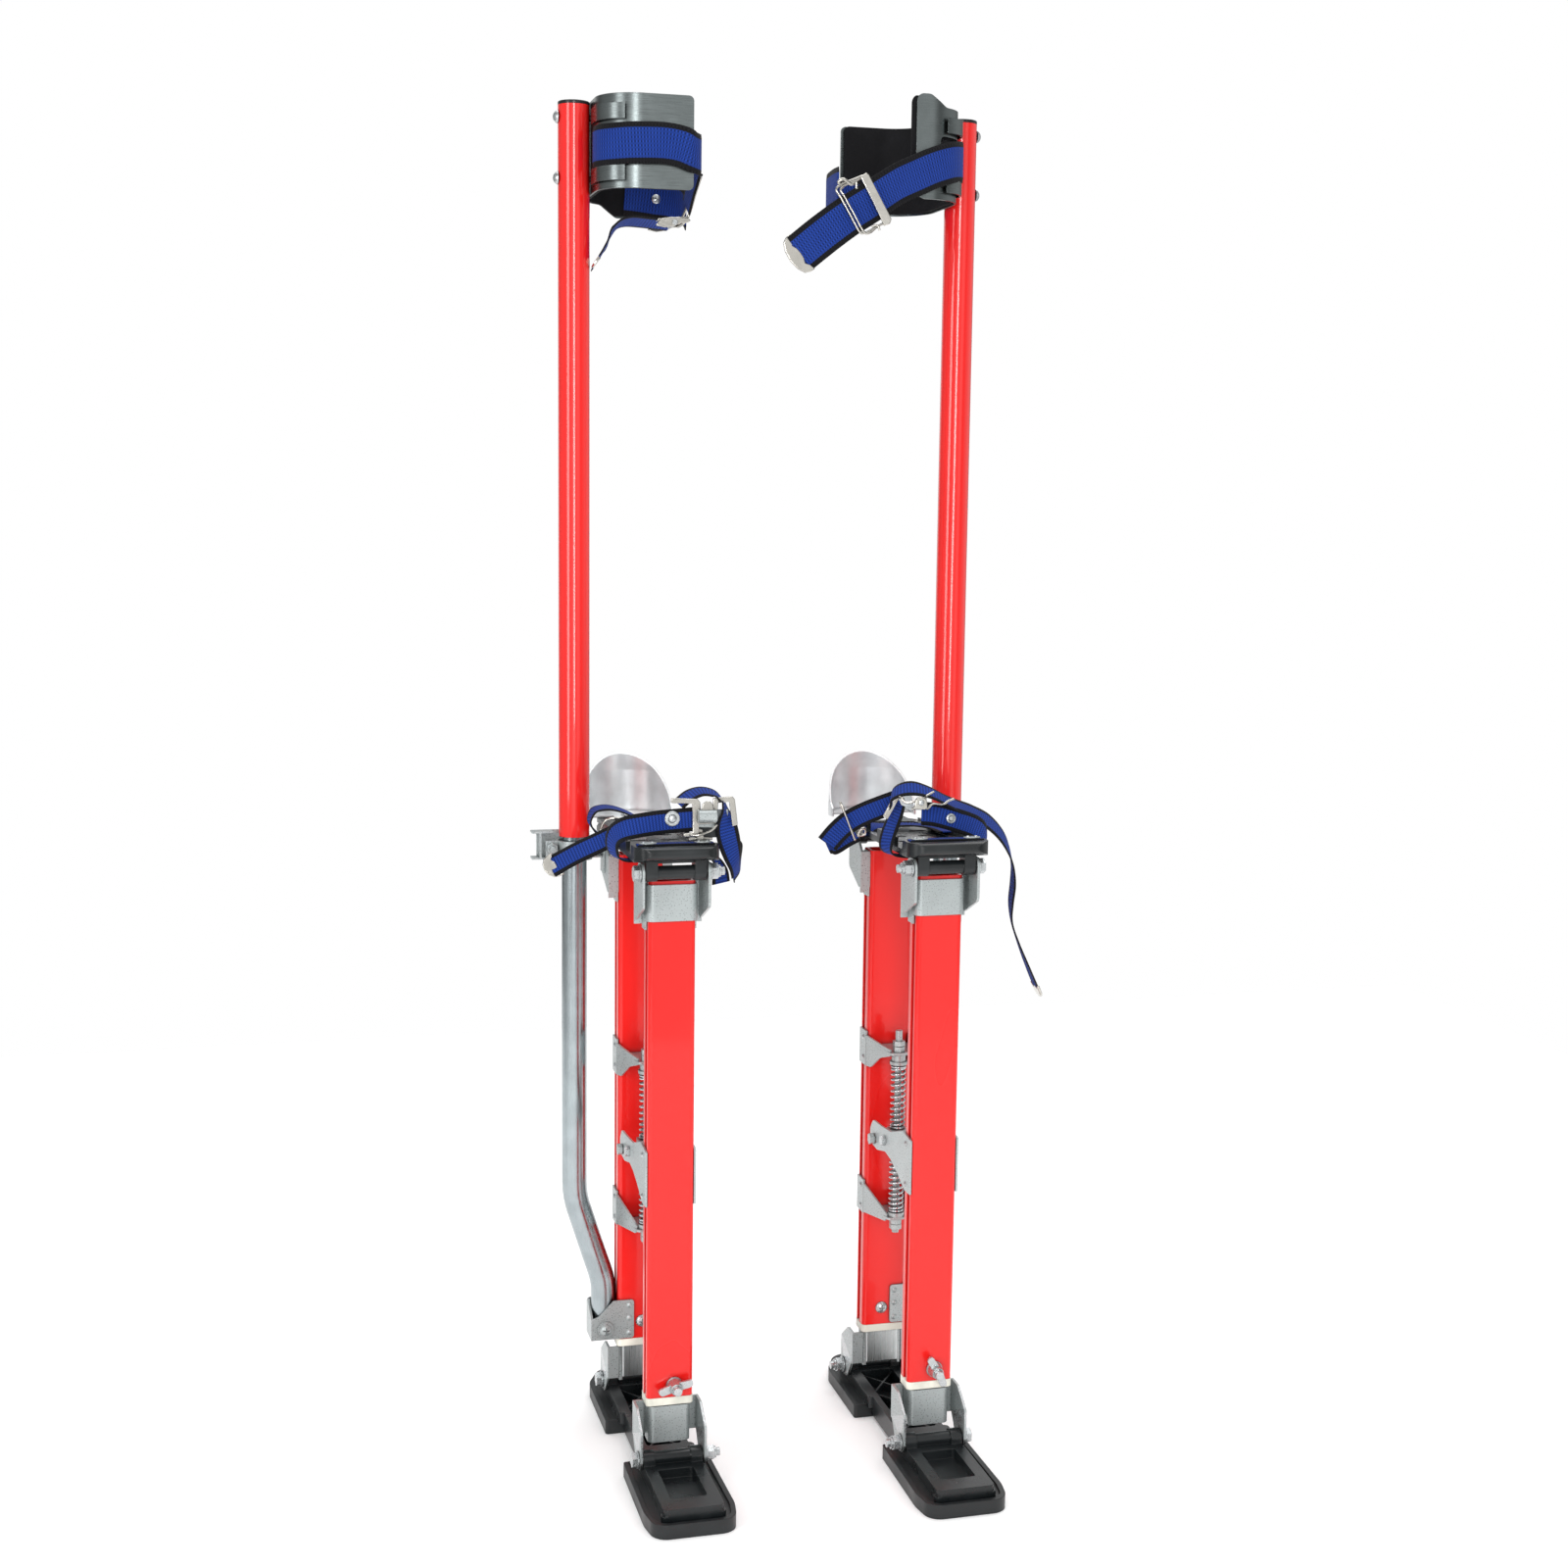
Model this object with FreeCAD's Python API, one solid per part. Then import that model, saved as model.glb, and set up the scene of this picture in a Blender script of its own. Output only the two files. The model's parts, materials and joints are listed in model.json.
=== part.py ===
import os
import math
import FreeCAD
import Part

V = FreeCAD.Vector

# ---------------------------------------------------------------- driving dimensions (mm)
STILT_HALF_SPACING = 127.5     # each stilt's centre plane is this far from the middle of the pair
RIGHT_FORWARD = 0.0            # how far the right stilt stands forward
LEFT_FORWARD = 21.0            # how far the left stilt stands forward
SHIFT_X = -11.36               # moves the pair so the origin is the middle of its footprint
SHIFT_Y = 25.0

STRUT_W, STRUT_D = 45.0, 25.0  # painted outer strut, width and depth
STRUT_R = 4.5                  # its corner radius
STRUT_Y = 75.35                # strut centre ahead of and behind the footboard's middle
STRUT_BOTTOM, STRUT_TOP = 82.6, 584.0
BORE_W, BORE_D = 38.0, 20.0    # inside of the outer strut
GROOVE_W, GROOVE_DEEP, GROOVE_OFF = 8.3, 2.2, 2.4
INNER_W, INNER_D, INNER_WALL = 37.0, 19.0, 2.0
INNER_BOTTOM, INNER_TOP = 41.0, 575.0
BUSH_H = 7.6                   # nylon bushing under each outer strut
HOLE_PITCH = 50.8              # height settings, two inches apart
WING_Z = {"front": 94.7, "rear": 100.5}
WING_X = {"front": 4.0, "rear": 2.4}

AXLE_Y = 97.5                  # all four pivots are this far ahead of or behind the middle
LOW_Z, TOP_Z = 27.4, 594.0     # lower and upper pivot heights
AXLE_R, HOLE_CLEAR = 4.0, 0.06
EAR_IN, EAR_OUT = 29.8, 32.2   # bracket ears
LUG_IN, LUG_OUT = 17.5, 28.6   # lugs between the ears

PAD_HALF, PAD_H = 42.0, 13.5
FRONT_PAD = (-207.0, -70.0)
REAR_PAD = (23.5, 156.0)
TRAY_TOP = 23.5

PLATE_Z, PLATE_T, RIM_TOP = 610.0, 4.5, 619.0
PLATE_HALF, PLATE_FRONT, PLATE_BACK = 40.0, -118.0, 150.0
TOE_DECK_TOP, TOE_DECK_BACK = 620.0, -92.0
NOSE_LIFT, NOSE_R = 4.0, 5.0   # underside rise and edge radius of the footboard's front end
SLEEVE_R = 6.4                 # moulded sleeve round each pivot bolt, between the lugs

HEEL_Y, HEEL_R, HEEL_TOP = 132.0, 46.0, 676.0
HEEL_T = 1.8                   # sheet thickness of the heel cup

ROD_Y, ROD_R = 29.0, 3.5
ROD_BOTTOM, ROD_TOP = 194.0, 405.0
BLOCK_Z = (278.0, 303.0)
PIN_Z = 294.0
TIE_Y, TIE_Z = -6.0, 302.5     # bolt that ties the two arm plates together
SPRING_LOW = (216.0, 277.6)
SPRING_UP = (303.4, 370.0)
COIL_R, WIRE_R, COILS = 6.9, 1.05, 11

TUBE_X, TUBE_Y = 63.8, 82.8    # leg tube, measured to the outside of each stilt
FOOT_X = 35.4                  # leg tube's lower end
LOWER_R, LOWER_BORE = 12.5, 11.0
UPPER_R, UPPER_BORE = 15.25, 13.0
LOWER_TOP, UPPER_BOTTOM, UPPER_TOP = 905.0, 602.0, 1304.0

BAND_Z = (1222.0, 1308.0)
BAND_NEAR, BAND_FAR, BAND_SIDE = 17.5, 156.0, 48.2
BAND_T, LINING_T = 2.0, 3.0
LONG_WING, SHORT_WING = 39.0, (12.0, 4.0)   # how far each wing reaches; short one on right, left stilt
WING_EXTRA = 11.5              # the short wing is this much deeper on one edge
LONG_WING_R, SHORT_WING_R = 5.0, 11.0       # corner radius at the end of each wing
STRAP_T, TOE_STRAP_W, CALF_STRAP_W = 1.8, 24.0, 37.0
CALF_BOLT_Z = (1236.5, 1293.0)


# ---------------------------------------------------------------- shape helpers
def box(x0, x1, y0, y1, z0, z1):
    return Part.makeBox(x1 - x0, y1 - y0, z1 - z0, V(x0, y0, z0))


def cyl(axis, a, b, lo, hi, r):
    """Cylinder along an axis; a and b are the two other coordinates in X, Y, Z order."""
    if axis == "x":
        return Part.makeCylinder(r, hi - lo, V(lo, a, b), V(1, 0, 0))
    if axis == "y":
        return Part.makeCylinder(r, hi - lo, V(a, lo, b), V(0, 1, 0))
    return Part.makeCylinder(r, hi - lo, V(a, b, lo), V(0, 0, 1))


def fuse(shapes):
    out = shapes[0]
    if len(shapes) > 1:
        out = out.multiFuse(shapes[1:])
    return out.removeSplitter()


def mirror_x(shape):
    return shape.mirror(V(0, 0, 0), V(1, 0, 0))


def both(shape):
    return [shape, mirror_x(shape)]


def sided(shape, side):
    """Shapes are drawn for the stilt whose leg tube is at -X; side +1 mirrors them."""
    return shape if side < 0 else mirror_x(shape)


def place(plane, u, v, w):
    if plane == "yz":
        return V(w, u, v)
    if plane == "xz":
        return V(u, w, v)
    return V(u, v, w)


def outline(points):
    """Closed edges through (u, v) or (u, v, corner radius) points, as plain 2-D tuples."""
    n = len(points)
    cuts = []
    for i in range(n):
        p0, p1, p2 = points[i - 1], points[i], points[(i + 1) % n]
        r = p1[2] if len(p1) > 2 else 0.0
        a = (p0[0] - p1[0], p0[1] - p1[1])
        b = (p2[0] - p1[0], p2[1] - p1[1])
        la, lb = math.hypot(*a), math.hypot(*b)
        if r <= 0:
            cuts.append((p1[:2], None, p1[:2]))
            continue
        cosw = (a[0] * b[0] + a[1] * b[1]) / (la * lb)
        w = math.acos(max(-1.0, min(1.0, cosw)))
        share = [0.499 if len(q) > 2 and q[2] > 0 else 0.999 for q in (p0, p2)]
        t = min(r / math.tan(w / 2), la * share[0], lb * share[1])
        s = (p1[0] + a[0] / la * t, p1[1] + a[1] / la * t)
        e = (p1[0] + b[0] / lb * t, p1[1] + b[1] / lb * t)
        h = (a[0] / la + b[0] / lb, a[1] / la + b[1] / lb)
        hl = math.hypot(*h)
        d = t * math.tan(w / 2)
        c = (p1[0] + h[0] / hl * t / math.cos(w / 2), p1[1] + h[1] / hl * t / math.cos(w / 2))
        m = (c[0] - h[0] / hl * d, c[1] - h[1] / hl * d)
        cuts.append((s, m, e))
    return cuts


def prism(plane, points, lo, hi):
    """Extrude a rounded polygon drawn in a plane between two positions along its normal."""
    cuts = outline(points)
    edges = []
    n = len(cuts)
    for i in range(n):
        s, m, e = cuts[i]
        if m is not None:
            edges.append(Part.Arc(place(plane, s[0], s[1], lo), place(plane, m[0], m[1], lo),
                                  place(plane, e[0], e[1], lo)).toShape())
        nxt = cuts[(i + 1) % n][0]
        if math.hypot(nxt[0] - e[0], nxt[1] - e[1]) > 1e-6:
            edges.append(Part.makeLine(place(plane, e[0], e[1], lo), place(plane, nxt[0], nxt[1], lo)))
    face = Part.Face(Part.Wire(edges))
    return face.extrude(place(plane, 0, 0, hi) - place(plane, 0, 0, lo))


def rect(u0, u1, v0, v1, r):
    return [(u0, v0, r), (u1, v0, r), (u1, v1, r), (u0, v1, r)]


def hex_head(axis, a, b, lo, hi, flats):
    pts = []
    for k in range(6):
        w = math.radians(60 * k + 30)
        pts.append((a + flats / math.sqrt(3) * math.cos(w), b + flats / math.sqrt(3) * math.sin(w)))
    return prism({"x": "yz", "y": "xz", "z": "xy"}[axis], pts, lo, hi)


def dome(axis_dir, centre, r, h):
    """Low button head: a slice of a ball standing on a face."""
    big = (r * r + h * h) / (2 * h)
    d = V(*axis_dir)
    ball = Part.makeSphere(big, V(*centre) - d * (big - h))
    return ball.common(Part.makeCylinder(r, h, V(*centre), d))


def bent_path(points, radii):
    """Wire through 3-D points with an arc of the given radius at each inner point."""
    edges, last = [], V(*points[0])
    for i in range(1, len(points) - 1):
        p0, p1, p2 = V(*points[i - 1]), V(*points[i]), V(*points[i + 1])
        a, b = (p0 - p1), (p2 - p1)
        a.normalize()
        b.normalize()
        w = a.getAngle(b)
        t = radii[i - 1] / math.tan(w / 2)
        s, e = p1 + a * t, p1 + b * t
        h = a + b
        h.normalize()
        m = p1 + h * (t / math.cos(w / 2) - radii[i - 1])
        edges.append(Part.makeLine(last, s))
        edges.append(Part.Arc(s, m, e).toShape())
        last = e
    edges.append(Part.makeLine(last, V(*points[-1])))
    return Part.Wire(edges)


def rod(points, radii, r):
    wire = bent_path(points, radii)
    start = V(*points[0])
    ring = Part.Wire(Part.makeCircle(r, start, V(*points[1]) - start))
    return wire.makePipeShell([ring], True, False)


def ribbon(points, ups, width, thick):
    """Webbing: flat cross-sections joined through 3-D points; ups are its width directions."""
    n = len(points)
    rings = []
    for i in range(n):
        p = V(*points[i])
        t = V(*points[min(i + 1, n - 1)]) - V(*points[max(i - 1, 0)])
        t.normalize()
        u = V(*ups[i])
        u = u - t * u.dot(t)
        u.normalize()
        q = t.cross(u)
        a, b = u * (width / 2), q * (thick / 2)
        rings.append(Part.makePolygon([p - a - b, p + a - b, p + a + b, p - a + b, p - a - b]))
    return Part.makeLoft(rings, True, True)


def coil(z0, z1, turns):
    height = z1 - z0 - 2 * WIRE_R
    helix = Part.makeHelix(height / turns, height, COIL_R)
    profile = Part.Wire(Part.makeCircle(WIRE_R, V(COIL_R, 0, 0), V(0, 1, 0)))
    spring = Part.Wire(helix.Edges).makePipeShell([profile], True, True)
    spring.translate(V(0, ROD_Y, z0 + WIRE_R))
    return spring


# ---------------------------------------------------------------- floor part
def floor_pads(frame):
    f0, f1 = FRONT_PAD
    r0, r1 = REAR_PAD
    h = PAD_HALF
    front = prism("xy", [(-h, f1, 3), (-h - 1, f0 + 30, 60), (-h + 4, f0, 16), (h - 4, f0, 16),
                         (h + 1, f0 + 30, 60), (h, f1, 3)], 0, PAD_H)
    rear = prism("xy", [(-h, r0, 3), (h, r0, 3), (h, r1 - 34, 30), (h - 16, r1, 20),
                        (-h + 16, r1, 20), (-h, r1 - 34, 30)], 0, PAD_H)
    lip = prism("xy", [(-h + 5, f1, 2), (-h + 4, f0 + 30, 50), (-h + 8, f0 + 5, 12), (h - 8, f0 + 5, 12),
                       (h - 4, f0 + 30, 50), (h - 5, f1, 2)], PAD_H - 2.2, PAD_H)
    lip2 = prism("xy", [(-h + 5, r0 + 4, 2), (h - 5, r0 + 4, 2), (h - 5, r1 - 36, 26),
                        (h - 19, r1 - 5, 16), (-h + 19, r1 - 5, 16), (-h + 5, r1 - 36, 26)],
                 PAD_H - 2.2, PAD_H)
    return [front.cut(lip).cut(frame), rear.cut(lip2).cut(frame)]


def floor_frame():
    z0 = PAD_H - 2.2
    tray = prism("xy", rect(-28.6, 28.6, -198, -62, 5), z0, TRAY_TOP)
    tray = tray.cut(prism("xy", rect(-17, 17, -176, -116, 3), z0 + 3, TRAY_TOP + 1))
    step = prism("xy", [(-31, -198, 4), (31, -198, 4), (30, -190), (-30, -190)], z0, z0 + 6)
    back = prism("xy", [(-28.6, 18, 4), (28.6, 18, 4), (28.6, 122, 16), (18, 148, 12),
                        (-18, 148, 12), (-28.6, 122, 16)], z0, TRAY_TOP)
    beam = box(-24, 24, FRONT_PAD[1] + 0.5, REAR_PAD[0] - 0.5, 3.5, TRAY_TOP)
    body = fuse([tray, step, back, beam])
    body = body.cut(prism("xy", rect(-17, 17, -62, 84, 3), 8, TRAY_TOP + 1))
    ribs = []
    for y0, y1 in ((-62, -13.5), (-13.5, 35), (35, 84)):
        for sx in (-1, 1):
            a, b = V(-17.5 * sx, y0, 8), V(17.5 * sx, y1, 8)
            d = b - a
            n = V(-d.y, d.x, 0)
            n.normalize()
            n = n * 0.9
            foot = Part.Face(Part.makePolygon([a - n, b - n, b + n, a + n, a - n]))
            ribs.append(foot.extrude(V(0, 0, 12)))
    body = fuse([body] + ribs)
    lugs = []
    for sy in (-1, 1):
        y = sy * AXLE_Y
        for lug in both(prism("yz", [(y - 9, TRAY_TOP - 6), (y + 9, TRAY_TOP - 6), (y + 8, LOW_Z + 8, 8),
                                     (y - 8, LOW_Z + 8, 8)], LUG_IN, LUG_OUT)):
            lugs.append(lug)
        lugs.append(cyl("x", y, LOW_Z, -LUG_IN - 1, LUG_IN + 1, SLEEVE_R))
    body = fuse([body] + lugs)
    for sy in (-1, 1):
        body = body.cut(cyl("x", sy * AXLE_Y, LOW_Z, -40, 40, AXLE_R + 0.05))
    return body


def pivot_bolt(y, z):
    """Hex bolt across a pair of ears: head on the -X side, washer and locknut on the other."""
    shank = cyl("x", y, z, -EAR_OUT - 0.6, EAR_OUT + 14.5, AXLE_R)
    head = hex_head("x", y, z, -EAR_OUT - 6.9, -EAR_OUT - 1.9, 13)
    wash1 = cyl("x", y, z, -EAR_OUT - 1.9, -EAR_OUT - 0.4, 8.2)
    wash2 = cyl("x", y, z, EAR_OUT + 0.4, EAR_OUT + 1.9, 8.2)
    nut = hex_head("x", y, z, EAR_OUT + 1.9, EAR_OUT + 8.4, 13)
    collar = cyl("x", y, z, EAR_OUT + 8.4, EAR_OUT + 10.6, 5.6)
    return fuse([shank, head, wash1, wash2, nut, collar])


# ---------------------------------------------------------------- legs
def inner_tube(sign):
    y = sign * STRUT_Y
    w, d, t = INNER_W / 2, INNER_D / 2, INNER_WALL
    tube = prism("xy", rect(-w, w, y - d, y + d, 3.5), INNER_BOTTOM, INNER_TOP)
    tube = tube.cut(prism("xy", rect(-w + t, w - t, y - d + t, y + d - t, 2), INNER_BOTTOM - 1, INNER_TOP + 1))
    end = "front" if sign < 0 else "rear"
    face = y + sign * d
    z = WING_Z[end]
    while z < INNER_TOP - 20:
        lo, hi = sorted((face, face - sign * 4))
        tube = tube.cut(cyl("y", WING_X[end], z, lo, hi, 4.4))
        z += HOLE_PITCH
    return tube


def wrap(y, sign, w_in, d_in, r_in, t, z0, z1, keep):
    """Plate wrapped round a strut's outer face, with flanges back along its two narrow sides."""
    outer = prism("xy", rect(-w_in - t, w_in + t, y - d_in - t, y + d_in + t, r_in + t), z0, z1)
    outer = outer.cut(prism("xy", rect(-w_in, w_in, y - d_in, y + d_in, r_in), z0 - 1, z1 + 1))
    lo, hi = sorted((y - sign * keep, y + sign * (d_in + t + 1)))
    return outer.common(box(-w_in - t - 1, w_in + t + 1, lo, hi, z0 - 1, z1 + 1))


def ankle_bracket(sign):
    y = sign * STRUT_Y
    w, d = INNER_W / 2, INNER_D / 2
    z0, z1 = 37.5, 73.5
    hull = wrap(y, sign, w + 0.02, d + 0.02, 3.5, 2.0, z0, z1, 9.0)
    strip = box(w + 2.0, EAR_OUT, *sorted((y - sign * 9.0, y - sign * 7.0)), 40.0, z1)
    ear = prism("yz", [(y - sign * 9.0, z1, 1), (y - sign * 9.0, 44, 6), (y + sign * 10, 17.8, 12),
                       (sign * (AXLE_Y + 9.4), 17.8, 9.2), (sign * (AXLE_Y + 9.4), 57, 4),
                       (y + sign * 9, z1, 5)], EAR_IN, EAR_OUT)
    parts = [hull] + both(strip) + both(ear)
    body = fuse(parts)
    body = body.cut(cyl("x", sign * AXLE_Y, LOW_Z, -40, 40, AXLE_R + HOLE_CLEAR))
    face = y + sign * (d + 2.02)
    for z in (45.9, 64.4):
        body = fuse([body, dome((0, sign, 0), (0, face - sign * 0.2, z), 3.6, 2.0)])
    return body


def outer_tube(sign):
    y = sign * STRUT_Y
    w, d = STRUT_W / 2, STRUT_D / 2
    tube = prism("xy", rect(-w, w, y - d, y + d, STRUT_R), STRUT_BOTTOM, STRUT_TOP)
    bw, bd = BORE_W / 2, BORE_D / 2
    tube = tube.cut(prism("xy", rect(-bw, bw, y - bd, y + bd, 3.8), STRUT_BOTTOM - 1, STRUT_TOP + 1))
    gy = y + sign * GROOVE_OFF
    for sx in (-1, 1):
        lo, hi = sorted((sx * (w - GROOVE_DEEP), sx * (w + 1)))
        tube = tube.cut(box(lo, hi, gy - GROOVE_W / 2, gy + GROOVE_W / 2, STRUT_BOTTOM - 1, STRUT_TOP + 1))
    end = "front" if sign < 0 else "rear"
    tube = tube.cut(cyl("y", WING_X[end], WING_Z[end], y - 20, y + 20, 4.15))
    return tube


def bushing(sign):
    y = sign * STRUT_Y
    w, d = STRUT_W / 2 + 0.4, STRUT_D / 2 + 0.4
    z1 = STRUT_BOTTOM - 0.05
    ring = prism("xy", rect(-w, w, y - d, y + d, STRUT_R), z1 - BUSH_H, z1)
    return ring.cut(prism("xy", rect(-INNER_W / 2 - 0.35, INNER_W / 2 + 0.35, y - INNER_D / 2 - 0.35,
                                     y + INNER_D / 2 + 0.35, 3.8), z1 - BUSH_H - 1, z1 + 1))


def top_bracket(sign):
    y = sign * STRUT_Y
    w, d = STRUT_W / 2, STRUT_D / 2
    z0, z1 = 546.3, 580.8
    band = wrap(y, sign, w + 0.02, d + 0.02, STRUT_R, 2.0, z0, z1, 10.0)
    flange = box(w + 0.02, w + 2.02, *sorted((y - sign * 10.0, y + sign * 4.0)), 537.0, 583.0)
    strip = box(w + 1.5, EAR_OUT, *sorted((y - sign * 10.0, y - sign * 8.0)), 541.0, 583.0)
    ear = prism("yz", [(y - sign * 10.0, 583.0, 2), (y - sign * 10.0, 548, 3), (y - sign * 4, 545.5, 3),
                       (sign * (AXLE_Y + 9.4), 562, 6), (sign * (AXLE_Y + 9.4), TOP_Z + 9.4, 9.2),
                       (sign * (AXLE_Y - 9.4), TOP_Z + 9.4, 9.2)], EAR_IN, EAR_OUT)
    body = fuse([band] + both(flange) + both(strip) + both(ear))
    body = body.cut(cyl("x", sign * AXLE_Y, TOP_Z, -40, 40, AXLE_R + HOLE_CLEAR))
    for sx in (-1, 1):
        for z in (551.5, 571.5):
            body = fuse([body, dome((sx, 0, 0), (sx * (w + 1.9), y - sign * 3.5, z), 3.2, 1.7)])
    return body


def wing_bolt(sign, turn):
    """Clamping bolt: wing nut outside the strut, button head on the strut's other face."""
    end = "front" if sign < 0 else "rear"
    y, x, z = sign * STRUT_Y, WING_X[end], WING_Z[end]
    out = y + sign * STRUT_D / 2
    lo, hi = sorted((out - sign * 2.1, out + sign * 19.0))
    shank = cyl("y", x, z, lo, hi, 4.0)
    lo, hi = sorted((out + sign * 0.35, out + sign * 2.0))
    washer = cyl("y", x, z, lo, hi, 8.0)
    hub = Part.makeCone(7.4, 5.6, 11.5, V(x, out + sign * 2.0, z), V(0, sign, 0))
    lo, hi = sorted((out + sign * 13.5, out + sign * 16.5))
    cap = hex_head("y", x, z, lo, hi, 8.4)
    wings = []
    for s in (-1, 1):
        wing = prism("xz", [(s * 3.5, -3.0), (s * 15.5, -3.4, 3.3), (s * 18.2, 3.2, 3.2), (s * 9, 4.2, 3),
                            (s * 3.5, 5.0)], -1.6, 1.6)
        wing.translate(V(0, out + sign * 8.5, 0))
        wing.rotate(V(0, 0, 0), V(0, 1, 0), turn)
        wing.translate(V(x, 0, z))
        wings.append(wing)
    outside = fuse([shank, washer, hub, cap] + wings)
    inn = y - sign * STRUT_D / 2
    lo, hi = sorted((inn + sign * 2.1, inn - sign * 0.8))
    stub = cyl("y", x, z, lo, hi, 4.0)
    head = dome((0, -sign, 0), (x, inn - sign * 0.4, z), 6.4, 3.4)
    recess = fuse([box(x - 3.2, x + 3.2, -200, 200, z - 0.6, z + 0.6),
                   box(x - 0.6, x + 0.6, -200, 200, z - 3.2, z + 3.2)])
    recess = recess.common(box(-60, 60, *sorted((inn - sign * 2.4, inn - sign * 6.0)), 0, 200))
    return [outside, fuse([stub, head]).cut(recess)]


# ---------------------------------------------------------------- spring unit
def rear_spring_bracket(z_lo, z_hi, nose, side, rivets):
    """Plates on both sides of the rear strut, drawn in to a nose plate that holds the rod."""
    face = STRUT_Y - STRUT_D / 2
    w = STRUT_W / 2
    flange = box(w + 0.02, w + 2.0, face + 0.5, face + 21.0, z_lo, z_hi)
    plate = prism("yz", side, -2.0, 0.0)
    plate.rotate(V(0, 0, 0), V(0, 0, 1), -20.5)
    plate.translate(V(w + 2.0, face + 1.2, 0))
    nose_plate = prism("xy", [(-21.5, face - 1.0), (21.5, face - 1.0), (9.5, ROD_Y - 7.5, 3),
                              (-9.5, ROD_Y - 7.5, 3)], nose, nose + 2.4)
    heads = [dome((1, 0, 0), (w + 1.9, STRUT_Y - 4.0, z), 3.1, 1.6) for z in rivets]
    body = fuse(both(fuse([flange, plate] + heads)) + [nose_plate])
    return body.cut(cyl("z", 0, ROD_Y, nose - 1, nose + 4, ROD_R + 0.05))


def spring_carrier():
    up = rear_spring_bracket(361.0, 397.0, 380.8, [
        (0, 393.0, 2), (0, 361.0), (-9, 361.0, 3), (-24, 374.0, 10), (-41, 379.4, 2), (-41, 386.0, 2),
        (-20, 389.0, 6)], (368.5, 389.5))
    low = rear_spring_bracket(204.5, 239.5, 209.0, [
        (0, 236.5), (0, 205.5), (-37, 206.0, 1), (-41, 213.0, 2), (-35, 217.0, 3)], (210.5, 232.0))
    bar = cyl("z", 0, ROD_Y, ROD_BOTTOM, ROD_TOP, ROD_R)
    collars = [cyl("z", 0, ROD_Y, 370.2, 373.4, 8.8), cyl("z", 0, ROD_Y, 373.0, 380.7, 7.0),
               hex_head("z", 0, ROD_Y, 383.3, 388.8, 11), hex_head("z", 0, ROD_Y, 389.4, 394.4, 11),
               cyl("z", 0, ROD_Y, 211.5, 215.8, 8.6), hex_head("z", 0, ROD_Y, 203.2, 208.9, 11),
               hex_head("z", 0, ROD_Y, 197.6, 202.8, 11)]
    return [up, low, fuse([bar] + collars)]


def spring_arm():
    """Pair of plates on the front strut that carry its push to the block between the springs."""
    w = STRUT_W / 2
    plate = prism("yz", [(-86.0, 272.0), (-86.0, 326.0, 3), (-62.0, 328.5, 3), (-24.0, 316.5, 6),
                         (8.0, 313.5, 6), (33.0, 312.5, 8), (43.0, 301.0, 7), (40.0, 287.0, 7),
                         (18.0, 285.5, 6), (-8.0, 291.5, 8), (-26.0, 289.0, 6), (-50.0, 281.0, 6),
                         (-70.0, 272.0, 3)], w + 0.02, w + 2.0)
    slot = prism("yz", rect(ROD_Y - 7.0, ROD_Y + 7.0, PIN_Z - 3.6, PIN_Z + 3.6, 3.5), 0, 40)
    plate = plate.cut(slot).cut(cyl("x", TIE_Y, TIE_Z, 0, 40, 3.0))
    for z in (278.5, 319.0):
        plate = fuse([plate, dome((1, 0, 0), (w + 1.9, -72.0, z), 3.1, 1.6)])
    tie = fuse([cyl("x", TIE_Y, TIE_Z, -w - 2.6, w + 2.6, 3.0),
                hex_head("x", TIE_Y, TIE_Z, w + 2.0, w + 6.2, 9),
                hex_head("x", TIE_Y, TIE_Z, -w - 6.2, -w - 2.0, 9)])
    return both(plate) + [tie]


def spring_block():
    z0, z1 = BLOCK_Z
    body = prism("xy", rect(-9.5, 9.5, ROD_Y - 8.0, ROD_Y + 8.0, 3), z0, z1)
    pins = cyl("x", ROD_Y, PIN_Z, -27.5, 27.5, 3.0)
    heads = [hex_head("x", ROD_Y, PIN_Z, 25.2, 29.8, 10), hex_head("x", ROD_Y, PIN_Z, -29.8, -25.2, 10),
             cyl("x", ROD_Y, PIN_Z, 15.0, 21.5, 4.6), cyl("x", ROD_Y, PIN_Z, -21.5, -15.0, 4.6)]
    body = fuse([body, pins] + heads)
    return body.cut(cyl("z", 0, ROD_Y, z0 - 1, z1 + 1, ROD_R + 0.06))


# ---------------------------------------------------------------- leg tube
def leg_tube_lower():
    pts = [(-FOOT_X, STRUT_Y, 86.0), (-FOOT_X, STRUT_Y, 142.0), (-TUBE_X, TUBE_Y, 232.0),
           (-TUBE_X, TUBE_Y, LOWER_TOP)]
    outer = rod(pts, (70.0, 90.0), LOWER_R)
    pts[0] = (-FOOT_X, STRUT_Y, 85.0)
    pts[3] = (-TUBE_X, TUBE_Y, LOWER_TOP + 1)
    inner = rod(pts, (70.0, 90.0), LOWER_BORE)
    return outer.cut(inner).cut(cyl("y", -FOOT_X, 95.0, 40, 110, 4.0))


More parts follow.
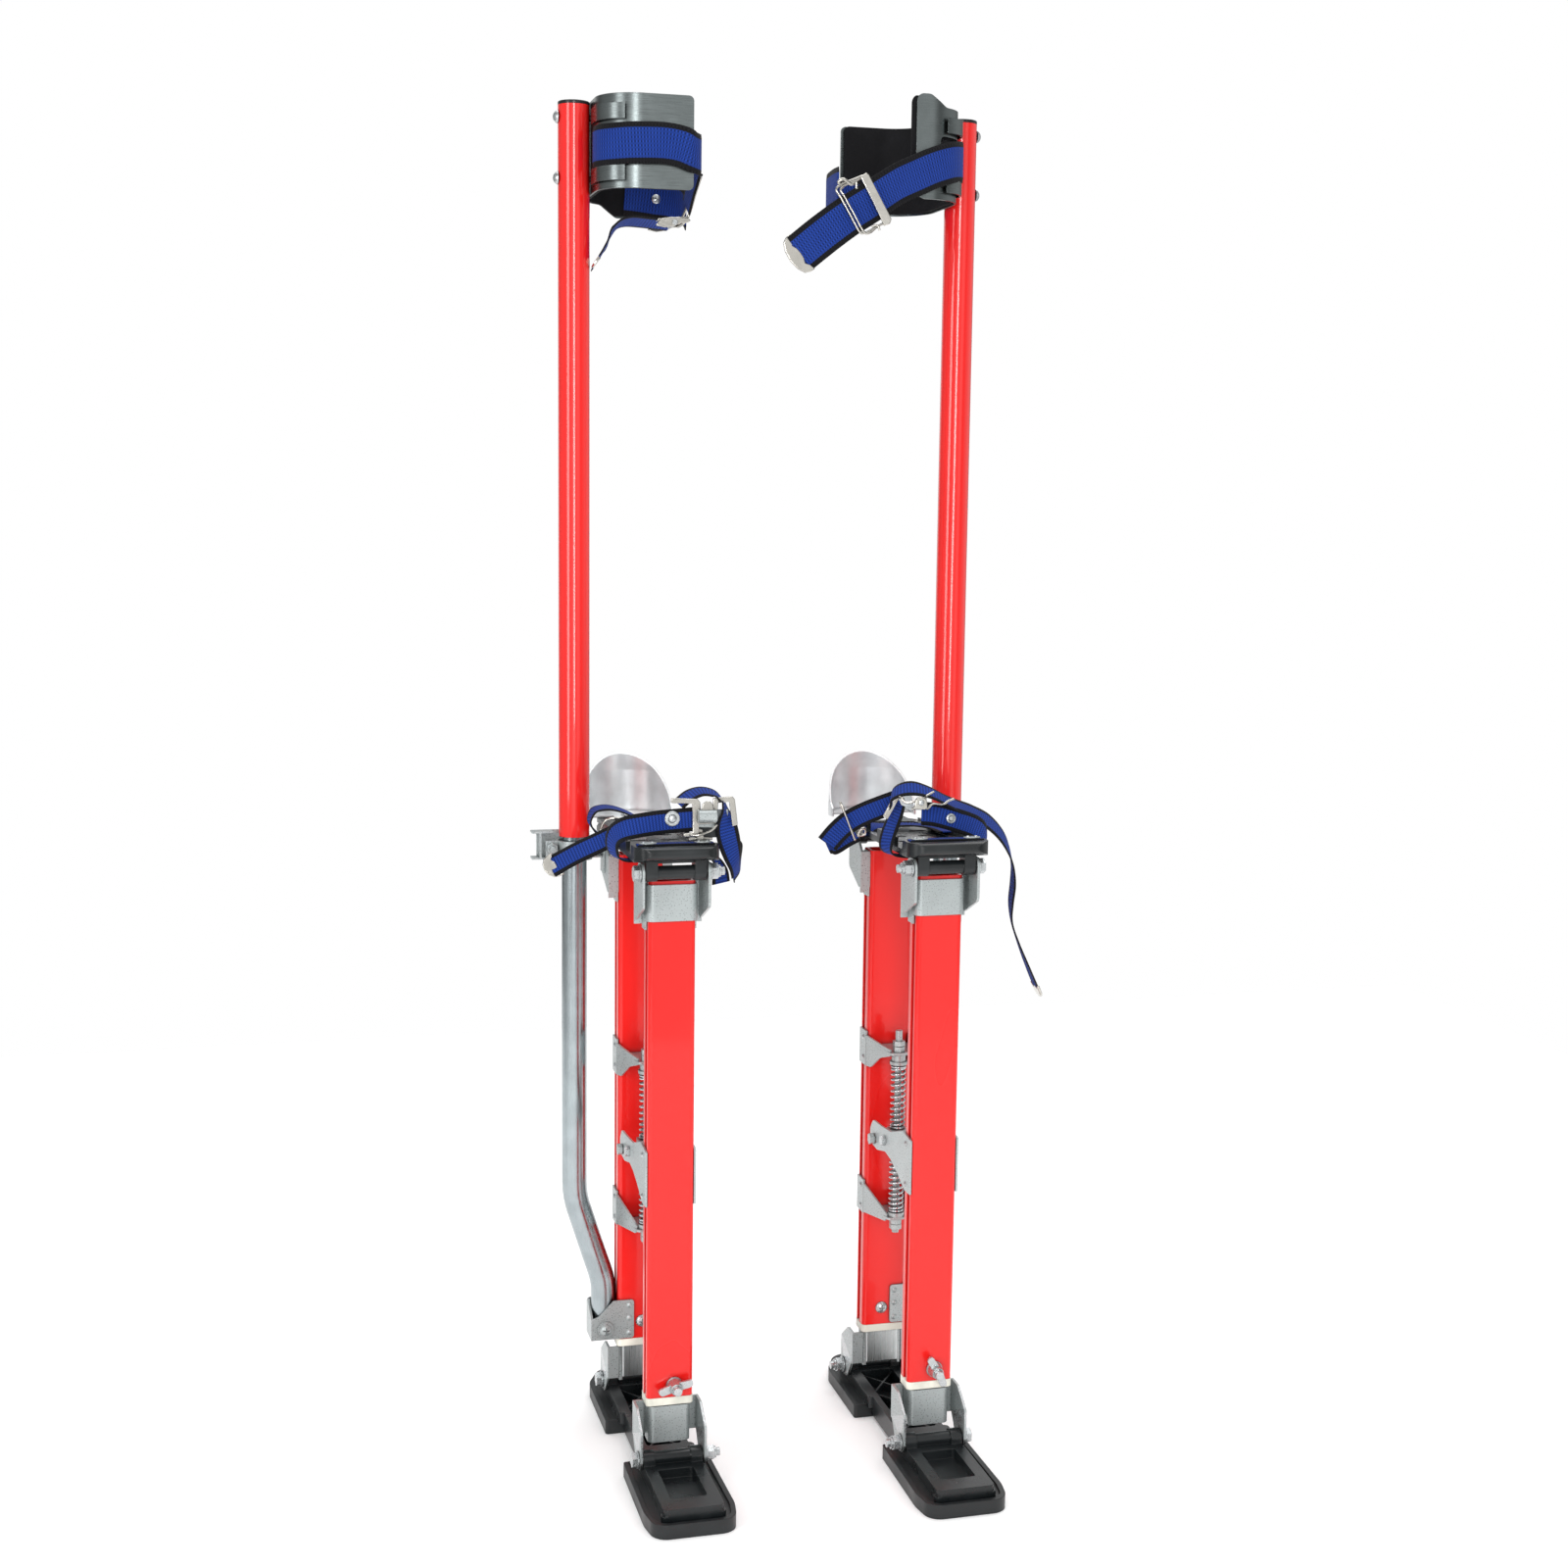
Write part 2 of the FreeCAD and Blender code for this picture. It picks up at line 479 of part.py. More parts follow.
def tube_brackets():
    f0, f1 = STRUT_Y - STRUT_D / 2, STRUT_Y + STRUT_D / 2
    x_out = -FOOT_X - LOWER_R - 0.3
    front = prism("xz", [(x_out - 2, 84.0), (x_out - 2, 106.0), (-42.5, 109.0), (-27.0, 124.5, 2),
                         (-6.2, 124.5, 3), (-6.2, 84.0, 3)], f0 - 2.0, f0 - 0.02)
    rear = prism("xz", [(x_out - 2, 84.0), (x_out - 2, 120.0, 4), (-6.2, 124.5, 3), (-6.2, 84.0, 3)],
                 f1 + 0.02, f1 + 2.0)
    side = prism("yz", [(f0 - 2.0, 84.0), (f0 - 2.0, 106.0), (f1 - 4.0, 122.0, 5), (f1 + 2.0, 116.0, 3),
                        (f1 + 2.0, 84.0)], x_out - 2, x_out)
    channel = fuse([front, rear, side]).cut(cyl("y", -FOOT_X, 95.0, 40, 110, 4.0))
    heads = []
    for z in (90.0, 105.5, 119.0):
        heads.append(dome((0, -1, 0), (-11.0, f0 - 1.9, z), 3.0, 1.6))
        heads.append(dome((0, 1, 0), (-11.0, f1 + 1.9, z), 3.0, 1.6))
    channel = fuse([channel] + heads)
    pin = fuse([cyl("y", -FOOT_X, 95.0, f0 - 3.0, f1 + 11.0, 4.0),
                cyl("y", -FOOT_X, 95.0, f0 - 3.4, f0 - 2.0, 8.4),
                dome((0, -1, 0), (-FOOT_X, f0 - 3.3, 95.0), 6.2, 3.6),
                hex_head("y", -FOOT_X, 95.0, f1 + 2.0, f1 + 8.5, 13)])
    cross = fuse([box(-FOOT_X - 3.4, -FOOT_X + 3.4, 0, f0 - 5.4, 94.4, 95.6),
                  box(-FOOT_X - 0.6, -FOOT_X + 0.6, 0, f0 - 5.4, 91.6, 98.4)])
    pin = pin.cut(cross)
    r0, r1 = UPPER_R + 0.4, UPPER_R + 2.8
    cx, cy = -TUBE_X, TUBE_Y
    ring = cyl("z", cx, cy, 579.0, 598.0, r1).cut(cyl("z", cx, cy, 578.0, 599.0, r0))
    web = prism("xz", [(-99.0, 578.0), (-99.0, 606.0), (-52.0, 606.0), (-43.0, 602.5),
                       (-EAR_OUT - 0.02, 602.5), (-EAR_OUT - 0.02, 578.0)], cy + r1 - 2.2, cy + r1)
    lips = [box(-105.0, -84.0, cy + r1 - 14.0, cy + r1, 604.2, 606.0),
            box(-105.0, -84.0, cy + r1 - 14.0, cy + r1, 578.0, 579.8),
            box(-97.5, -95.5, cy + r1 - 14.0, cy + r1, 578.0, 606.0),
            box(-46.0, -EAR_OUT - 0.02, cy + r1 - 12.0, cy + r1, 578.0, 579.8),
            box(-EAR_OUT - 2.0, -EAR_OUT - 0.02, cy + 2.0, cy + r1, 563.0, 600.0)]
    jaw = [box(-93.0, cx - r0 + 1.0, cy - 5.0, cy - 2.6, 579.0, 598.0)]
    clamp = fuse([ring, web] + lips + jaw)
    clamp = clamp.cut(box(cx - r1 - 1, cx - r0 + 0.5, cy - 2.6, cy + 2.0, 570, 600))
    clamp = clamp.cut(cyl("z", cx, cy, 570.0, 610.0, r0))
    clamp = clamp.cut(cyl("x", AXLE_Y, TOP_Z, -60.0, -30.0, 9.2))
    bolt_x, bolt_z = -87.0, 590.5
    clamp = clamp.cut(cyl("y", bolt_x, bolt_z, 50, 130, 3.0))
    draw = fuse([cyl("y", bolt_x, bolt_z, cy - 15.0, cy + r1 + 2.0, 3.0),
                 hex_head("y", bolt_x, bolt_z, cy - 10.6, cy - 5.02, 10),
                 cyl("y", bolt_x, bolt_z, cy + r1 + 0.02, cy + r1 + 3.5, 5.2)])
    return [channel, pin, clamp, draw]


def leg_tube_upper():
    tube = cyl("z", -TUBE_X, TUBE_Y, UPPER_BOTTOM, UPPER_TOP, UPPER_R)
    tube = tube.cut(cyl("z", -TUBE_X, TUBE_Y, UPPER_BOTTOM - 1, UPPER_TOP + 1, UPPER_BORE))
    for z in CALF_BOLT_Z:
        tube = tube.cut(cyl("x", TUBE_Y, z, -100, -40, 3.05))
    return tube


def end_cap():
    lid = cyl("z", -TUBE_X, TUBE_Y, UPPER_TOP + 0.02, UPPER_TOP + 3.4, UPPER_R)
    lid = lid.makeFillet(1.1, [e for e in lid.Edges if e.BoundBox.ZMin > UPPER_TOP + 3.0])
    plug = cyl("z", -TUBE_X, TUBE_Y, UPPER_TOP - 6.0, UPPER_TOP + 0.5, UPPER_BORE - 0.02)
    return fuse([lid, plug])


# ---------------------------------------------------------------- calf band
def band_plan(off, near_end, far_end, t):
    """Closed plan outline of the band, set in by off from its outer face; opens towards +X."""
    n, f, s = BAND_NEAR + off, BAND_FAR - off, -BAND_SIDE + off
    r0, r1 = 38.0 - off, 44.0 - off
    out = [(near_end, n), (s, n, r0), (s, f, r1), (far_end, f)]
    inn = [(far_end, f - t), (s + t, f - t, r1 - t), (s + t, n + t, r0 - t), (near_end, n + t)]
    return out + inn


def wing_outline(end, low, high):
    """Side view of one wing; low and high are how much deeper it is than the band's back."""
    z0, z1 = BAND_Z
    corner = SHORT_WING_R if low or high else LONG_WING_R
    points = [(-80.0, z0)]
    if low:
        points += [(-27.0, z0, 8), (-10.0, z0 - low, 8)]
    points += [(end, z0 - low, corner), (end, z1 + high, corner)]
    if high:
        points += [(-10.0, z1 + high, 8), (-27.0, z1, 8)]
    return points + [(-80.0, z1)]


def band_shell(off, thick, margin, near, far):
    """The band, or with an offset and margin its lining; near and far are (end, low, high)."""
    z0, z1 = BAND_Z
    shell = prism("xy", band_plan(off, near[0], far[0], thick), z0 - 20, z1 + 20)
    wings = []
    for (end, low, high), y0, y1 in ((near, -20, 86), (far, 86, 200)):
        wings.append(prism("xz", wing_outline(end, low, high), y0, y1))
    shell = shell.common(fuse(wings))
    if margin:
        shell = shell.cut(box(-90, 90, -20, 200, z0 - 20, z0 + margin - near[1] - far[1]))
        shell = shell.cut(box(-90, 90, -20, 200, z1 - margin + near[2] + far[2], z1 + 20))
    slot = prism("xz", rect(-70, -21, 1242.0 + margin, 1281.0 - margin, 4), -20, 64)
    return shell.cut(slot)


def calf_band(near, far):
    z0, z1 = BAND_Z
    body = [band_shell(0.0, BAND_T, 0, near, far)]
    for a, b in ((z0 + 6.5, z0 + 21.0), (z1 - 24.0, z1 - 9.5)):
        bar = prism("xy", band_plan(-2.3, -20.0, -20.0, 2.2), a, b)
        body.append(bar.common(box(-51, -27, 0, 64, a - 1, b + 1)))
    out = []
    for shape in body:
        for z in CALF_BOLT_Z:
            shape = shape.cut(cyl("x", TUBE_Y, z, -100, -30, 3.05))
        out.append(shape)
    for z in CALF_BOLT_Z:
        out.append(fuse([cyl("x", TUBE_Y, z, -TUBE_X - UPPER_R - 0.6, -BAND_SIDE + BAND_T + 1.0, 3.0),
                         dome((-1, 0, 0), (-TUBE_X - UPPER_R - 0.3, TUBE_Y, z), 6.2, 4.6)]))
    return out


def calf_lining(near, far):
    near = (near[0] + (4.0 if near[2] else -3.0),) + near[1:]
    far = (far[0] - 3.0,) + far[1:]
    foam = band_shell(BAND_T + 0.05, LINING_T, 2.0, near, far)
    for z in CALF_BOLT_Z:
        foam = foam.cut(cyl("x", TUBE_Y, z, -60, -30, 7.0))
    return foam


UP = (0, 0, 1)


def calf_strap(side):
    if side < 0:
        front = [(-37, 62, 1261), (-40, 44, 1261), (-38, 28, 1261), (-28, 16, 1261), (-14, 13.8, 1261),
                 (8, 13.8, 1261), (28, 13.8, 1260), (41, 17, 1258), (49, 29, 1254), (54, 56, 1236),
                 (55, 84, 1211)]
        inner = [(-2, 149, 1235), (10, 149, 1233), (26, 146, 1226), (42, 134, 1216), (52, 114, 1206)]
        tail = [(28, 97, 1192), (14, 98, 1189), (-2, 97, 1187), (-16, 92, 1183), (-27, 82, 1173),
                (-34, 73, 1162), (-40, 68, 1152)]
        ups = [UP] * 6 + [UP, UP, (0, 0.2, 1), (0.1, 0.6, 0.8), (0.1, 0.75, 0.6)]
        ups_in = [UP] * 3 + [(-0.1, -0.3, 1), (-0.1, -0.5, 0.8)]
        ups_t = [(0, 0.95, 0.3)] * 3 + [(0.1, 0.9, 0.45), (0.4, 0.8, 0.4), (0.6, 0.7, 0.35), (0.7, 0.6, 0.3)]
        return [ribbon(front, ups, CALF_STRAP_W, STRAP_T), ribbon(inner, ups_in, CALF_STRAP_W - 3, STRAP_T),
                ribbon(tail, ups_t, CALF_STRAP_W - 3, STRAP_T)]
    front = [(37, 62, 1261), (40, 44, 1261), (37, 27, 1260), (24, 14, 1258), (8, 8, 1252), (-12, 4, 1243),
             (-32, 1, 1231), (-48, -2, 1220)]
    tail = [(-78, -6, 1200), (-92, -8, 1188), (-112, -9, 1171), (-133, -9, 1154)]
    far = [(-80, 16, 1226), (-78, 60, 1228), (-66, 110, 1231), (-48, 142, 1234), (-30, 149, 1236),
           (-12, 149, 1238)]
    ups_f = [UP] * 3 + [(0.1, 0, 1), (0.25, 0, 1), (0.4, 0, 1), (0.5, 0, 1), (0.6, 0, 1)]
    return [ribbon(front, ups_f, CALF_STRAP_W, STRAP_T),
            ribbon(tail, [(0.7, 0, 1)] * 4, CALF_STRAP_W, STRAP_T),
            ribbon(far, [UP] * 6, CALF_STRAP_W - 3, STRAP_T)]


def frame_buckle(centre, u, v, w, h, t, bar):
    """Stamped strap adjuster: a rectangular frame with one cross bar, set on two directions."""
    ring = prism("xy", rect(-w / 2, w / 2, -h / 2, h / 2, 3), -t / 2, t / 2)
    for lo, hi in ((-w / 2 + bar, -bar / 2), (bar / 2, w / 2 - bar)):
        ring = ring.cut(prism("xy", rect(lo, hi, -h / 2 + bar, h / 2 - bar, 1), -t, t))
    u, v = V(*u), V(*v)
    u.normalize()
    v = v - u * u.dot(v)
    v.normalize()
    n = u.cross(v)
    ring.transformShape(FreeCAD.Matrix(u.x, v.x, n.x, centre[0], u.y, v.y, n.y, centre[1],
                                       u.z, v.z, n.z, centre[2], 0, 0, 0, 1))
    return ring


def calf_buckle(side):
    if side < 0:
        return frame_buckle((44, 98, 1199), (1, -0.1, 0.45), (0.1, 0.95, 0.2), 30, 44, 3.2, 4)
    return frame_buckle((-63, -3.5, 1210), (1, 0, 0.72), (0.72, 0, -1), 34, 46, 3.2, 4)


# ---------------------------------------------------------------- footboard
def footboard():
    z0 = PLATE_Z - PLATE_T
    h = PLATE_HALF
    shape = [(-h, PLATE_FRONT, 15), (h, PLATE_FRONT, 15), (h, 92, 8), (30, 104, 8), (30, PLATE_BACK, 6),
             (-30, PLATE_BACK, 6), (-30, 104, 8), (-h, 92, 8)]
    plate = prism("xy", shape, z0, PLATE_Z)
    rim = prism("xy", [(-h, PLATE_FRONT, 15), (h, PLATE_FRONT, 15), (h, 92, 8), (-h, 92, 8)], z0, RIM_TOP)
    rim = rim.cut(prism("xy", [(-h + 4, PLATE_FRONT + 6, 11), (h - 4, PLATE_FRONT + 6, 11), (h - 4, 120),
                               (-h + 4, 120)], z0 - 1, RIM_TOP + 1))
    rim = rim.cut(box(-60, 60, 60, 130, PLATE_Z + 2.5, RIM_TOP + 1))
    for y0, y1 in ((-96.0, -66.0), (-12.0, 22.0)):
        rim = rim.cut(box(-60, 60, y0, y1, PLATE_Z + 1.0, RIM_TOP + 1))
    nose = prism("yz", [(PLATE_FRONT, z0 + NOSE_LIFT, NOSE_R), (PLATE_FRONT, TOE_DECK_TOP, NOSE_R),
                        (TOE_DECK_BACK, TOE_DECK_TOP, 3), (TOE_DECK_BACK + 5, z0),
                        (PLATE_FRONT + 12, z0)], -h, h)
    front = prism("xy", [(-h, PLATE_FRONT, 15), (h, PLATE_FRONT, 15), (h, -60), (-h, -60)], z0, RIM_TOP + 1)
    plate = plate.cut(box(-h, h, PLATE_FRONT - 1, TOE_DECK_BACK - 2, z0 - 1, PLATE_Z + 1))
    rim = rim.cut(box(-h, h, PLATE_FRONT - 1, TOE_DECK_BACK - 2, z0 - 1, RIM_TOP + 1))
    body = fuse([plate, rim, nose.common(front)])
    body = body.cut(prism("xy", rect(-31, 31, -84, 84, 8), PLATE_Z - 1.5, PLATE_Z + 1))
    for y in (-60.0, -30.0, 0.0, 30.0, 60.0):
        for sx in (-1, 1):
            body = body.cut(prism("xy", rect(sx * 15 - 9, sx * 15 + 9, y - 3, y + 3, 2.9), z0 - 1, PLATE_Z))
    lugs = []
    for sy in (-1, 1):
        y = sy * AXLE_Y
        for lug in both(prism("yz", [(y - 8, z0 + 1), (y - 8, TOP_Z - 8, 7.9), (y + 8, TOP_Z - 8, 7.9),
                                     (y + 8, z0 + 1)], LUG_IN, LUG_OUT)):
            lugs.append(lug)
        lugs.append(box(-LUG_IN - 1, LUG_IN + 1, y - 3.5, y + 3.5, z0 - 2.5, z0 + 1))
        lugs.append(cyl("x", y, TOP_Z, -LUG_IN - 1, LUG_IN + 1, SLEEVE_R))
    body = fuse([body] + lugs)
    for sy in (-1, 1):
        body = body.cut(cyl("x", sy * AXLE_Y, TOP_Z, -40, 40, AXLE_R + 0.05))
    for y in (122.0, 140.0):
        body = body.cut(cyl("z", 0, y, z0 - 1, PLATE_Z + 1, 3.0))
    return body


def footboard_bolts():
    out = [pivot_bolt(-AXLE_Y, TOP_Z), pivot_bolt(AXLE_Y, TOP_Z)]
    for y in (122.0, 140.0):
        out.append(fuse([cyl("z", 0, y, PLATE_Z - PLATE_T - 4.0, PLATE_Z + 3.4, 3.0),
                         dome((0, 0, 1), (0, y, PLATE_Z + 3.2), 6.0, 2.6),
                         hex_head("z", 0, y, PLATE_Z - PLATE_T - 5.2, PLATE_Z - PLATE_T - 0.02, 10)]))
    return out


def heel_cup():
    """Stamped cup behind the heel: a curved wall cut off on a slope, on a slotted tongue."""
    base, crease = PLATE_Z + 0.35, 655.0
    outer = [(HEEL_R, base), (HEEL_R, 622.0), (HEEL_R - 1.2, crease), (HEEL_R - 4.5, HEEL_TOP + 8.0)]
    inner = [(r - HEEL_T, z) for r, z in reversed(outer)]
    wall = Part.Face(Part.makePolygon([V(r, 0, z) for r, z in outer + inner + outer[:1]]))
    wall = wall.revolve(V(0, 0, 0), V(0, 0, 1), 360)
    wall.translate(V(0, HEEL_Y, 0))
    keep = prism("yz", [(HEEL_Y - 6, 600), (HEEL_Y - 6, 619.0), (HEEL_Y, 624.0),
                        (HEEL_Y + HEEL_R - 1.5, HEEL_TOP), (HEEL_Y + HEEL_R + 5, HEEL_TOP + 2),
                        (HEEL_Y + HEEL_R + 5, 600)], -60, 60)
    tongue = prism("xy", [(-14, 84, 6), (14, 84, 6), (14, HEEL_Y + 42.0), (-14, HEEL_Y + 42.0)],
                   base, base + 2.0)
    floor = Part.makeCylinder(HEEL_R - 1.0, 2.0, V(0, HEEL_Y, base))
    floor = floor.common(box(-60, 60, HEEL_Y + 8, HEEL_Y + 60, 600, 630))
    body = fuse([wall.common(keep), tongue, floor])
    slot = prism("xy", rect(-3.4, 3.4, 103.5, 160.5, 3.3), 600, 620)
    return body.cut(slot)


def foot_straps(side):
    """Toe and ankle webbing, with their tails, as they lie loose on the footboard."""
    if side < 0:
        toe = [(-30, -76, 603), (-38, -72, 601.5), (-44, -68, 604), (-47, -66, 613), (-45, -68, 624),
               (-38, -74, 633), (-28, -80, 638), (-14, -84, 642), (0, -86, 644), (16, -87, 645)]
        toe_up = [(0, 1, 0.1), (0, 1, 0.1), (0.1, 1, 0.1), (0.2, 0.9, 0.3), (0.3, 0.5, 0.8), (0.2, 0.1, 1),
                  (0, 0, 1), (0, 0, 1), (0, 0, 1), (0, 0, 1)]
        right = [(47, -84, 652), (50, -82, 640), (50, -78, 626), (53, -72, 613), (60, -64, 600), (64, -58, 589)]
        right_up = [(0.9, 0.3, 0.1), (0.8, 0.6, 0.1), (0.6, 0.8, 0), (0.5, 0.9, 0.2), (0.5, 0.8, 0.4),
                    (0.6, 0.7, 0.5)]
        loop = [(46, -30, 603), (54, -34, 596), (66, -40, 592), (76, -46, 596), (72, -34, 603), (60, -26, 604)]
        loop_up = [(0.1, 0.9, 0.5), (0.2, 0.7, 0.7), (0.1, 0.6, 0.8), (0, 0.4, 1), (0, 0.2, 1), (0, 0.2, 1)]
        tail = [(-30, -14, 624), (-44, -10, 617), (-60, -4, 608), (-76, 2, 598), (-90, 7, 589), (-99, 9, 582)]
        tail_up = [(0.3, 0.3, 1), (0.4, 0.3, 1), (0.5, 0.3, 1), (0.5, 0.3, 1), (0.5, 0.3, 1), (0.5, 0.3, 1)]
        heel = [(-44, 20, 620), (-44, 44, 626), (-38, 62, 628), (-22, 72, 629), (-4, 74, 629), (16, 66, 628),
                (32, 48, 627), (40, 22, 626), (43, -4, 624)]
        return [ribbon(route, ups, TOE_STRAP_W, STRAP_T) for route, ups in (
            (toe, toe_up), (right, right_up), (loop, loop_up), (tail, tail_up), (heel, [UP] * 9))]
    over = [(-33, -60, 657), (-22, -66, 664), (-9, -72, 663), (6, -76, 654), (26, -76, 640), (48, -72, 626),
            (62, -64, 612), (70, -56, 598)]
    over_up = [(0.3, 0.9, 0.5), (0.1, 0.9, 0.5), (-0.1, 0.8, 0.6), (-0.1, 0.6, 0.8), (0.2, 0.4, 0.9),
               (0.3, 0.4, 0.9), (0.5, 0.4, 0.8), (0.7, 0.4, 0.5)]
    left = [(-38, -50, 646), (-43, -52, 634), (-45, -56, 618), (-44, -60, 606), (-38, -64, 600), (-28, -68, 599.5)]
    left_up = [(0.1, 1, 0.2), (0.1, 1, 0.2), (0.1, 1, 0.1), (0.1, 1, 0), (0.1, 1, 0), (0, 1, 0)]
    fold = [(-24, -26, 655), (-36, -20, 648), (-50, -10, 638), (-62, -2, 627), (-72, 6, 614),
            (-82, 12, 600)]
    fold_up = [(0.5, 0, 1), (0.5, 0, 1), (0.55, 0, 0.9), (0.6, 0, 0.8), (0.7, 0, 0.6), (0.8, 0, 0.5)]
    tail = [(74, -30, 604), (86, -32, 590), (94, -34, 572), (94, -36, 553), (91, -37, 535), (95, -38, 517),
            (102, -38, 498), (110, -38, 482), (118, -38, 465), (126, -38, 449)]
    tail_up = [(0.5, 0.7, 0.5), (0.5, 0.85, 0.2), (0.3, 0.95, 0), (0.15, 1, 0), (0.1, 1, 0), (0.1, 1, 0),
               (0.1, 1, 0), (0.1, 1, 0), (0.1, 1, 0), (0.1, 1, 0)]
    heel = [(-40, 30, 622), (-40, 44, 626), (-32, 60, 628), (-16, 70, 629), (6, 70, 629), (26, 58, 627),
            (40, 36, 624), (46, 8, 619), (52, -12, 613)]
    return [ribbon(route, ups, TOE_STRAP_W, STRAP_T) for route, ups in (
        (over, over_up), (left, left_up), (fold, fold_up), (tail, tail_up), (heel, [UP] * 9))]


def clear_of(straps, hardware):
    """Webbing relieved where it threads through or is pinched by hardware; keeps the main piece."""
    out = []
    for strap in straps:
        for part in hardware:
            if strap.BoundBox.intersect(part.BoundBox):
                strap = strap.cut(part)
        out.append(max(strap.Solids, key=lambda s: s.Volume))
    return out


def foot_buckles(side):
    if side < 0:
        return [frame_buckle((34, -91, 647), (1, 0.05, 0.08), (-0.05, 0.1, 1), 34, 34, 3.0, 4)]
    return [frame_buckle((-8, -87, 648), (1, -0.1, -0.08), (0.05, 0.75, 0.6), 34, 30, 3.0, 4),
            frame_buckle((-58, -8, 633), (0.8, -0.1, 0.6), (-0.6, 0.02, 0.8), 9, 33, 3.0, 1.9)]


# ---------------------------------------------------------------- one stilt
def stilt(side):
    """All nodes of one stilt about its own middle; side -1 is the wearer's right."""
    long_wing = (LONG_WING, 0.0, 0.0)
    if side < 0:
        near, far = long_wing, (SHORT_WING[0], WING_EXTRA, 0.0)
    else:
        near, far = (SHORT_WING[1], 0.0, WING_EXTRA), long_wing
    frame = floor_frame()
    nodes = {
        "floor_frame": [frame],
        "floor_pads": floor_pads(frame),
        "lower_axles": [pivot_bolt(-AXLE_Y, LOW_Z), pivot_bolt(AXLE_Y, LOW_Z)],
        "rear_inner_leg": [inner_tube(1), ankle_bracket(1)],
        "front_inner_leg": [inner_tube(-1), ankle_bracket(-1)],
        "rear_outer_strut": [outer_tube(1)],
        "rear_bushing": [bushing(1)],
        "rear_top_bracket": [top_bracket(1)],
        "spring_carrier": spring_carrier(),
        "spring_upper": [coil(*SPRING_UP, COILS)],
        "spring_lower": [coil(*SPRING_LOW, COILS)],
        "tube_brackets": tube_brackets(),
        "leg_tube_lower": [leg_tube_lower()],
        "front_outer_strut": [outer_tube(-1)],
        "front_bushing": [bushing(-1)],
        "front_brackets": [top_bracket(-1)] + spring_arm(),
        "spring_block": [spring_block()],
        "front_wing_bolt": wing_bolt(-1, -14 if side < 0 else 62),
        "rear_wing_bolt": wing_bolt(1, 24 if side < 0 else 40),
        "footboard": [footboard()],
        "footboard_bolts": footboard_bolts(),
        "heel_cup": [heel_cup()],
        "leg_tube_upper": [leg_tube_upper()],
        "end_cap": [end_cap()],
        "calf_band": calf_band(near, far),
        "calf_lining": [calf_lining(near, far)],
    }
    handed = ("lower_axles", "tube_brackets", "leg_tube_lower", "footboard_bolts", "leg_tube_upper",
              "end_cap", "calf_band", "calf_lining", "rear_inner_leg", "rear_outer_strut", "rear_wing_bolt")
    for name in handed:
        nodes[name] = [sided(s, side) for s in nodes[name]]
    nodes["foot_buckles"] = foot_buckles(side)
    nodes["calf_buckle"] = [calf_buckle(side)]
    nodes["foot_straps"] = clear_of(foot_straps(side), nodes["foot_buckles"] + nodes["footboard"])
    nodes["calf_strap"] = clear_of(calf_strap(side),
                                   nodes["calf_buckle"] + nodes["calf_band"] + nodes["calf_lining"])
    return nodes


def main():
    os.makedirs("parts", exist_ok=True)
    for prefix, side, forward in (("r", -1, RIGHT_FORWARD), ("l", 1, LEFT_FORWARD)):
        for name, shapes in stilt(side).items():
            solids = []
            for shape in shapes:
                solids.extend(shape.Solids)
            body = solids[0] if len(solids) == 1 else Part.makeCompound(solids)
            body.translate(V(side * STILT_HALF_SPACING + SHIFT_X, SHIFT_Y - forward, 0))
            body.exportStep("parts/%s_%s.step" % (prefix, name))


main()
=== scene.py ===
import bpy
import bmesh
import json
import math
from mathutils import Matrix, Vector


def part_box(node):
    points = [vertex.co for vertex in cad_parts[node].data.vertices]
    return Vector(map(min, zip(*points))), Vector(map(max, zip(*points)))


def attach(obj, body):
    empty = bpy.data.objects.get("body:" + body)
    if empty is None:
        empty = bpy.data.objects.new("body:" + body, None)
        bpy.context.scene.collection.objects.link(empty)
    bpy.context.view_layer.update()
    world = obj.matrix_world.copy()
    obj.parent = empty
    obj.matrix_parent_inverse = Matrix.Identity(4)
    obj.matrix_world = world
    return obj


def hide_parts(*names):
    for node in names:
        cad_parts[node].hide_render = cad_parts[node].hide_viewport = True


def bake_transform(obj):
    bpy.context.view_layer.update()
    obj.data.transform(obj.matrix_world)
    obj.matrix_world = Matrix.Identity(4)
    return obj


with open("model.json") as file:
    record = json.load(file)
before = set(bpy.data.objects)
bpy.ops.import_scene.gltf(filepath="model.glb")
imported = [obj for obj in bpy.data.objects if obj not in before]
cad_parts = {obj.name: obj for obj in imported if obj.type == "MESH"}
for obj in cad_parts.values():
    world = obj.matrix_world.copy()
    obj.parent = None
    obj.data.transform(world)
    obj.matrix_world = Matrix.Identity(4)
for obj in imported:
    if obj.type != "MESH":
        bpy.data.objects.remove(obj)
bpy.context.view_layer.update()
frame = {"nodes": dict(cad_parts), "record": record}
NODES = frame["nodes"]
MM = 0.001
SIDES = {"r": -1, "l": 1}                     # wearer's right stilt, wearer's left stilt
NAMES = {"r": "right", "l": "left"}


# ---------------------------------------------------------------- places taken from the frame
def middle(node):
    low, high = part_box(node)
    return (low + high) / 2


ORIGIN = {}
for tag in SIDES:
    front, rear = middle(tag + "_front_outer_strut"), middle(tag + "_rear_outer_strut")
    ORIGIN[tag] = Vector(((front.x + rear.x) / 2, (front.y + rear.y) / 2, 0.0))


def at(tag, x, y, z):
    """A point given in millimetres from the middle of one stilt, as a place in the row frame."""
    return ORIGIN[tag] + Vector((x, y, z)) * MM


